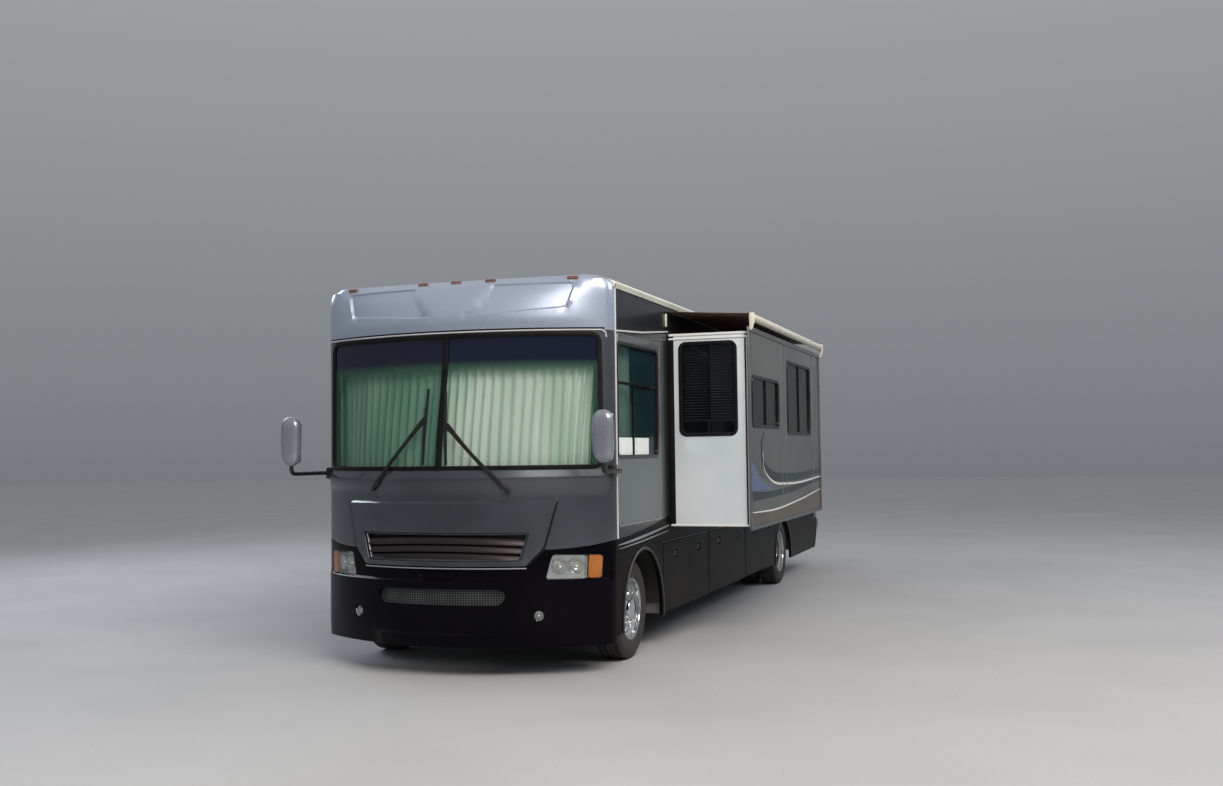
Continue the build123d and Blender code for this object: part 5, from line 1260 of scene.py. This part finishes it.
vent_ring = rounded(rect(-206, 206, -206, 206), 20, 3)
piece("roof_sealant", "roof_skin", sealant,
      *[bead_on_roof([(x, y) for x in np.linspace(-1110, 1110, 25)], 1) for y in (640, 9600)],
      *[bead_on_roof([(x + dx, y + dy) for dx, dy in vent_ring], 2, True) for x, y in vents])
slot_black = finish("black_louvre_slot", "#0b0b0b", "#131313", 60, 3, 0.7)
slot = prism(rounded(rect(-3, 3, -60, 60), 3, 3), "xz", -7, 7, 1, 1)
leaning = {side: turned(slot, Matrix.Rotation(math.radians(side * 21.8), 4, "X")) for side in (-1, 1)}
piece("air_conditioner_slots", "trim_black", slot_black,
      *[repeated(leaning[side], 19, (-216, y + side * 388, 3292), (24, 0, 0))
        for y in conditioners_y for side in (-1, 1)])
screw = lathe([(-3, 0), (-3, 7), (1, 6), (3, 0)], steps=10)
piece("roof_vent_screws", "bare_steel", latch_steel,
      *[repeated(screw, 6, (x - 175, y + side * 188, 3144), (70, 0, 0)) for x, y in vents for side in (-1, 1)])

# Cab instruments: a dark binnacle glass in the hood, round air outlets and a row of blank switches.
gauge_glass = finish("smoked_binnacle_glass", "#08090a", "#101214", 90, 2, 0.08)
outlet = [(0, 0), (0, 26), (3, 32), (7, 32), (9, 26), (6, 22), (6, 0)]
piece("dash_fittings", "interior", gauge_glass, prism(rounded(rect(455, 785, 1492, 1540), 14, 4), "xz", 557, 563, 1.5),
      *[lathe(outlet, (x, 560, 1420), "y", 28) for x in (-820, -380, 380, 860)],
      repeated(box(-12, 12, -4, 5, -17, 17, 3), 8, (-140, 563, 1440), (40, 0, 0)))

# Studio: a pale floor, one large soft key over the nose's right, a fill, a side light and a soft
# sky, and the camera where the photograph was taken from.
sky = bpy.data.worlds.new("soft_sky")
sky.use_nodes = True
sky_tree = sky.node_tree
sky_tree.nodes.clear()
up = add(sky_tree, "ShaderNodeSeparateXYZ", {"Vector": add(sky_tree, "ShaderNodeTexCoord").outputs["Generated"]})
height = add(sky_tree, "ShaderNodeMapRange", {"Value": up.outputs["Z"], "From Min": -0.1, "From Max": 0.7})
sky_ramp = add(sky_tree, "ShaderNodeValToRGB", {"Fac": height.outputs["Result"]})
for stop, at, code in zip(sky_ramp.color_ramp.elements, (0.0, 1.0), ("#8d9298", "#f2f5f8")):
    stop.position, stop.color = at, srgb(code)
glow = add(sky_tree, "ShaderNodeBackground", {"Color": sky_ramp.outputs["Color"], "Strength": 0.55})
add(sky_tree, "ShaderNodeOutputWorld", {"Surface": glow.outputs["Background"]})
bpy.context.scene.world = sky
for name, place, aim, size, power, colour in (
        ("key_light", (8.0, -12.0, 10.5), (0.3, -4.5, 2.4), (12, 5), 2300, "#fff6ea"),
        ("fill_light", (-11.0, 1.0, 8.0), (0.0, 0.0, 1.5), (7, 5), 550, "#e8f0ff"),
        ("side_light", (11.0, 3.0, 9.0), (0.5, 0.5, 1.5), (8, 5), 450, "#f4f6ff")):
    lamp = bpy.data.lights.new(name, "AREA")
    lamp.shape, lamp.size, lamp.size_y = "RECTANGLE", *size
    lamp.energy, lamp.color = power, srgb(colour)[:3]
    light = bpy.data.objects.new(name, lamp)
    bpy.context.scene.collection.objects.link(light)
    light.location = place
    light.rotation_euler = (Vector(aim) - Vector(place)).to_track_quat("-Z", "Y").to_euler()
floor_mesh = bpy.data.meshes.new("studio_floor")
floor_mesh.from_pydata([(x, y, 0) for x, y in rect(-60, 60, -60, 60)], [], [(0, 1, 2, 3)])
studio_floor = bpy.data.objects.new("studio_floor", floor_mesh)
floor_mesh.materials.append(finish("pale_studio_floor", "#a3a4a6", "#a9aaac", 1500, 20, 0.7, 0.1))
bpy.context.scene.collection.objects.link(studio_floor)

yaw, pitch, roll = 0.3303, 0.0469, -0.013
focal_pixels, photo_pixels = 1239.42, 1223
ahead = Vector((-math.sin(yaw) * math.cos(pitch), math.cos(yaw) * math.cos(pitch), math.sin(pitch)))
level = Vector((math.cos(yaw), math.sin(yaw), 0.0))
upright = level.cross(ahead)
right = math.cos(roll) * level + math.sin(roll) * upright
above = -math.sin(roll) * level + math.cos(roll) * upright
view = bpy.data.cameras.new("photo_camera")
view.sensor_width = 36.0
view.lens = focal_pixels / photo_pixels * view.sensor_width
view.clip_start, view.clip_end = 0.1, 300
camera = bpy.data.objects.new("photo_camera", view)
bpy.context.scene.collection.objects.link(camera)
eye = Vector((4419.0, -8668.6, 1733.5)) + Vector(origin)
camera.matrix_world = Matrix.Translation(eye / 1000) @ Matrix((right, above, -ahead)).transposed().to_4x4()
bpy.context.scene.camera = camera
bpy.context.scene.view_settings.view_transform = "Standard"
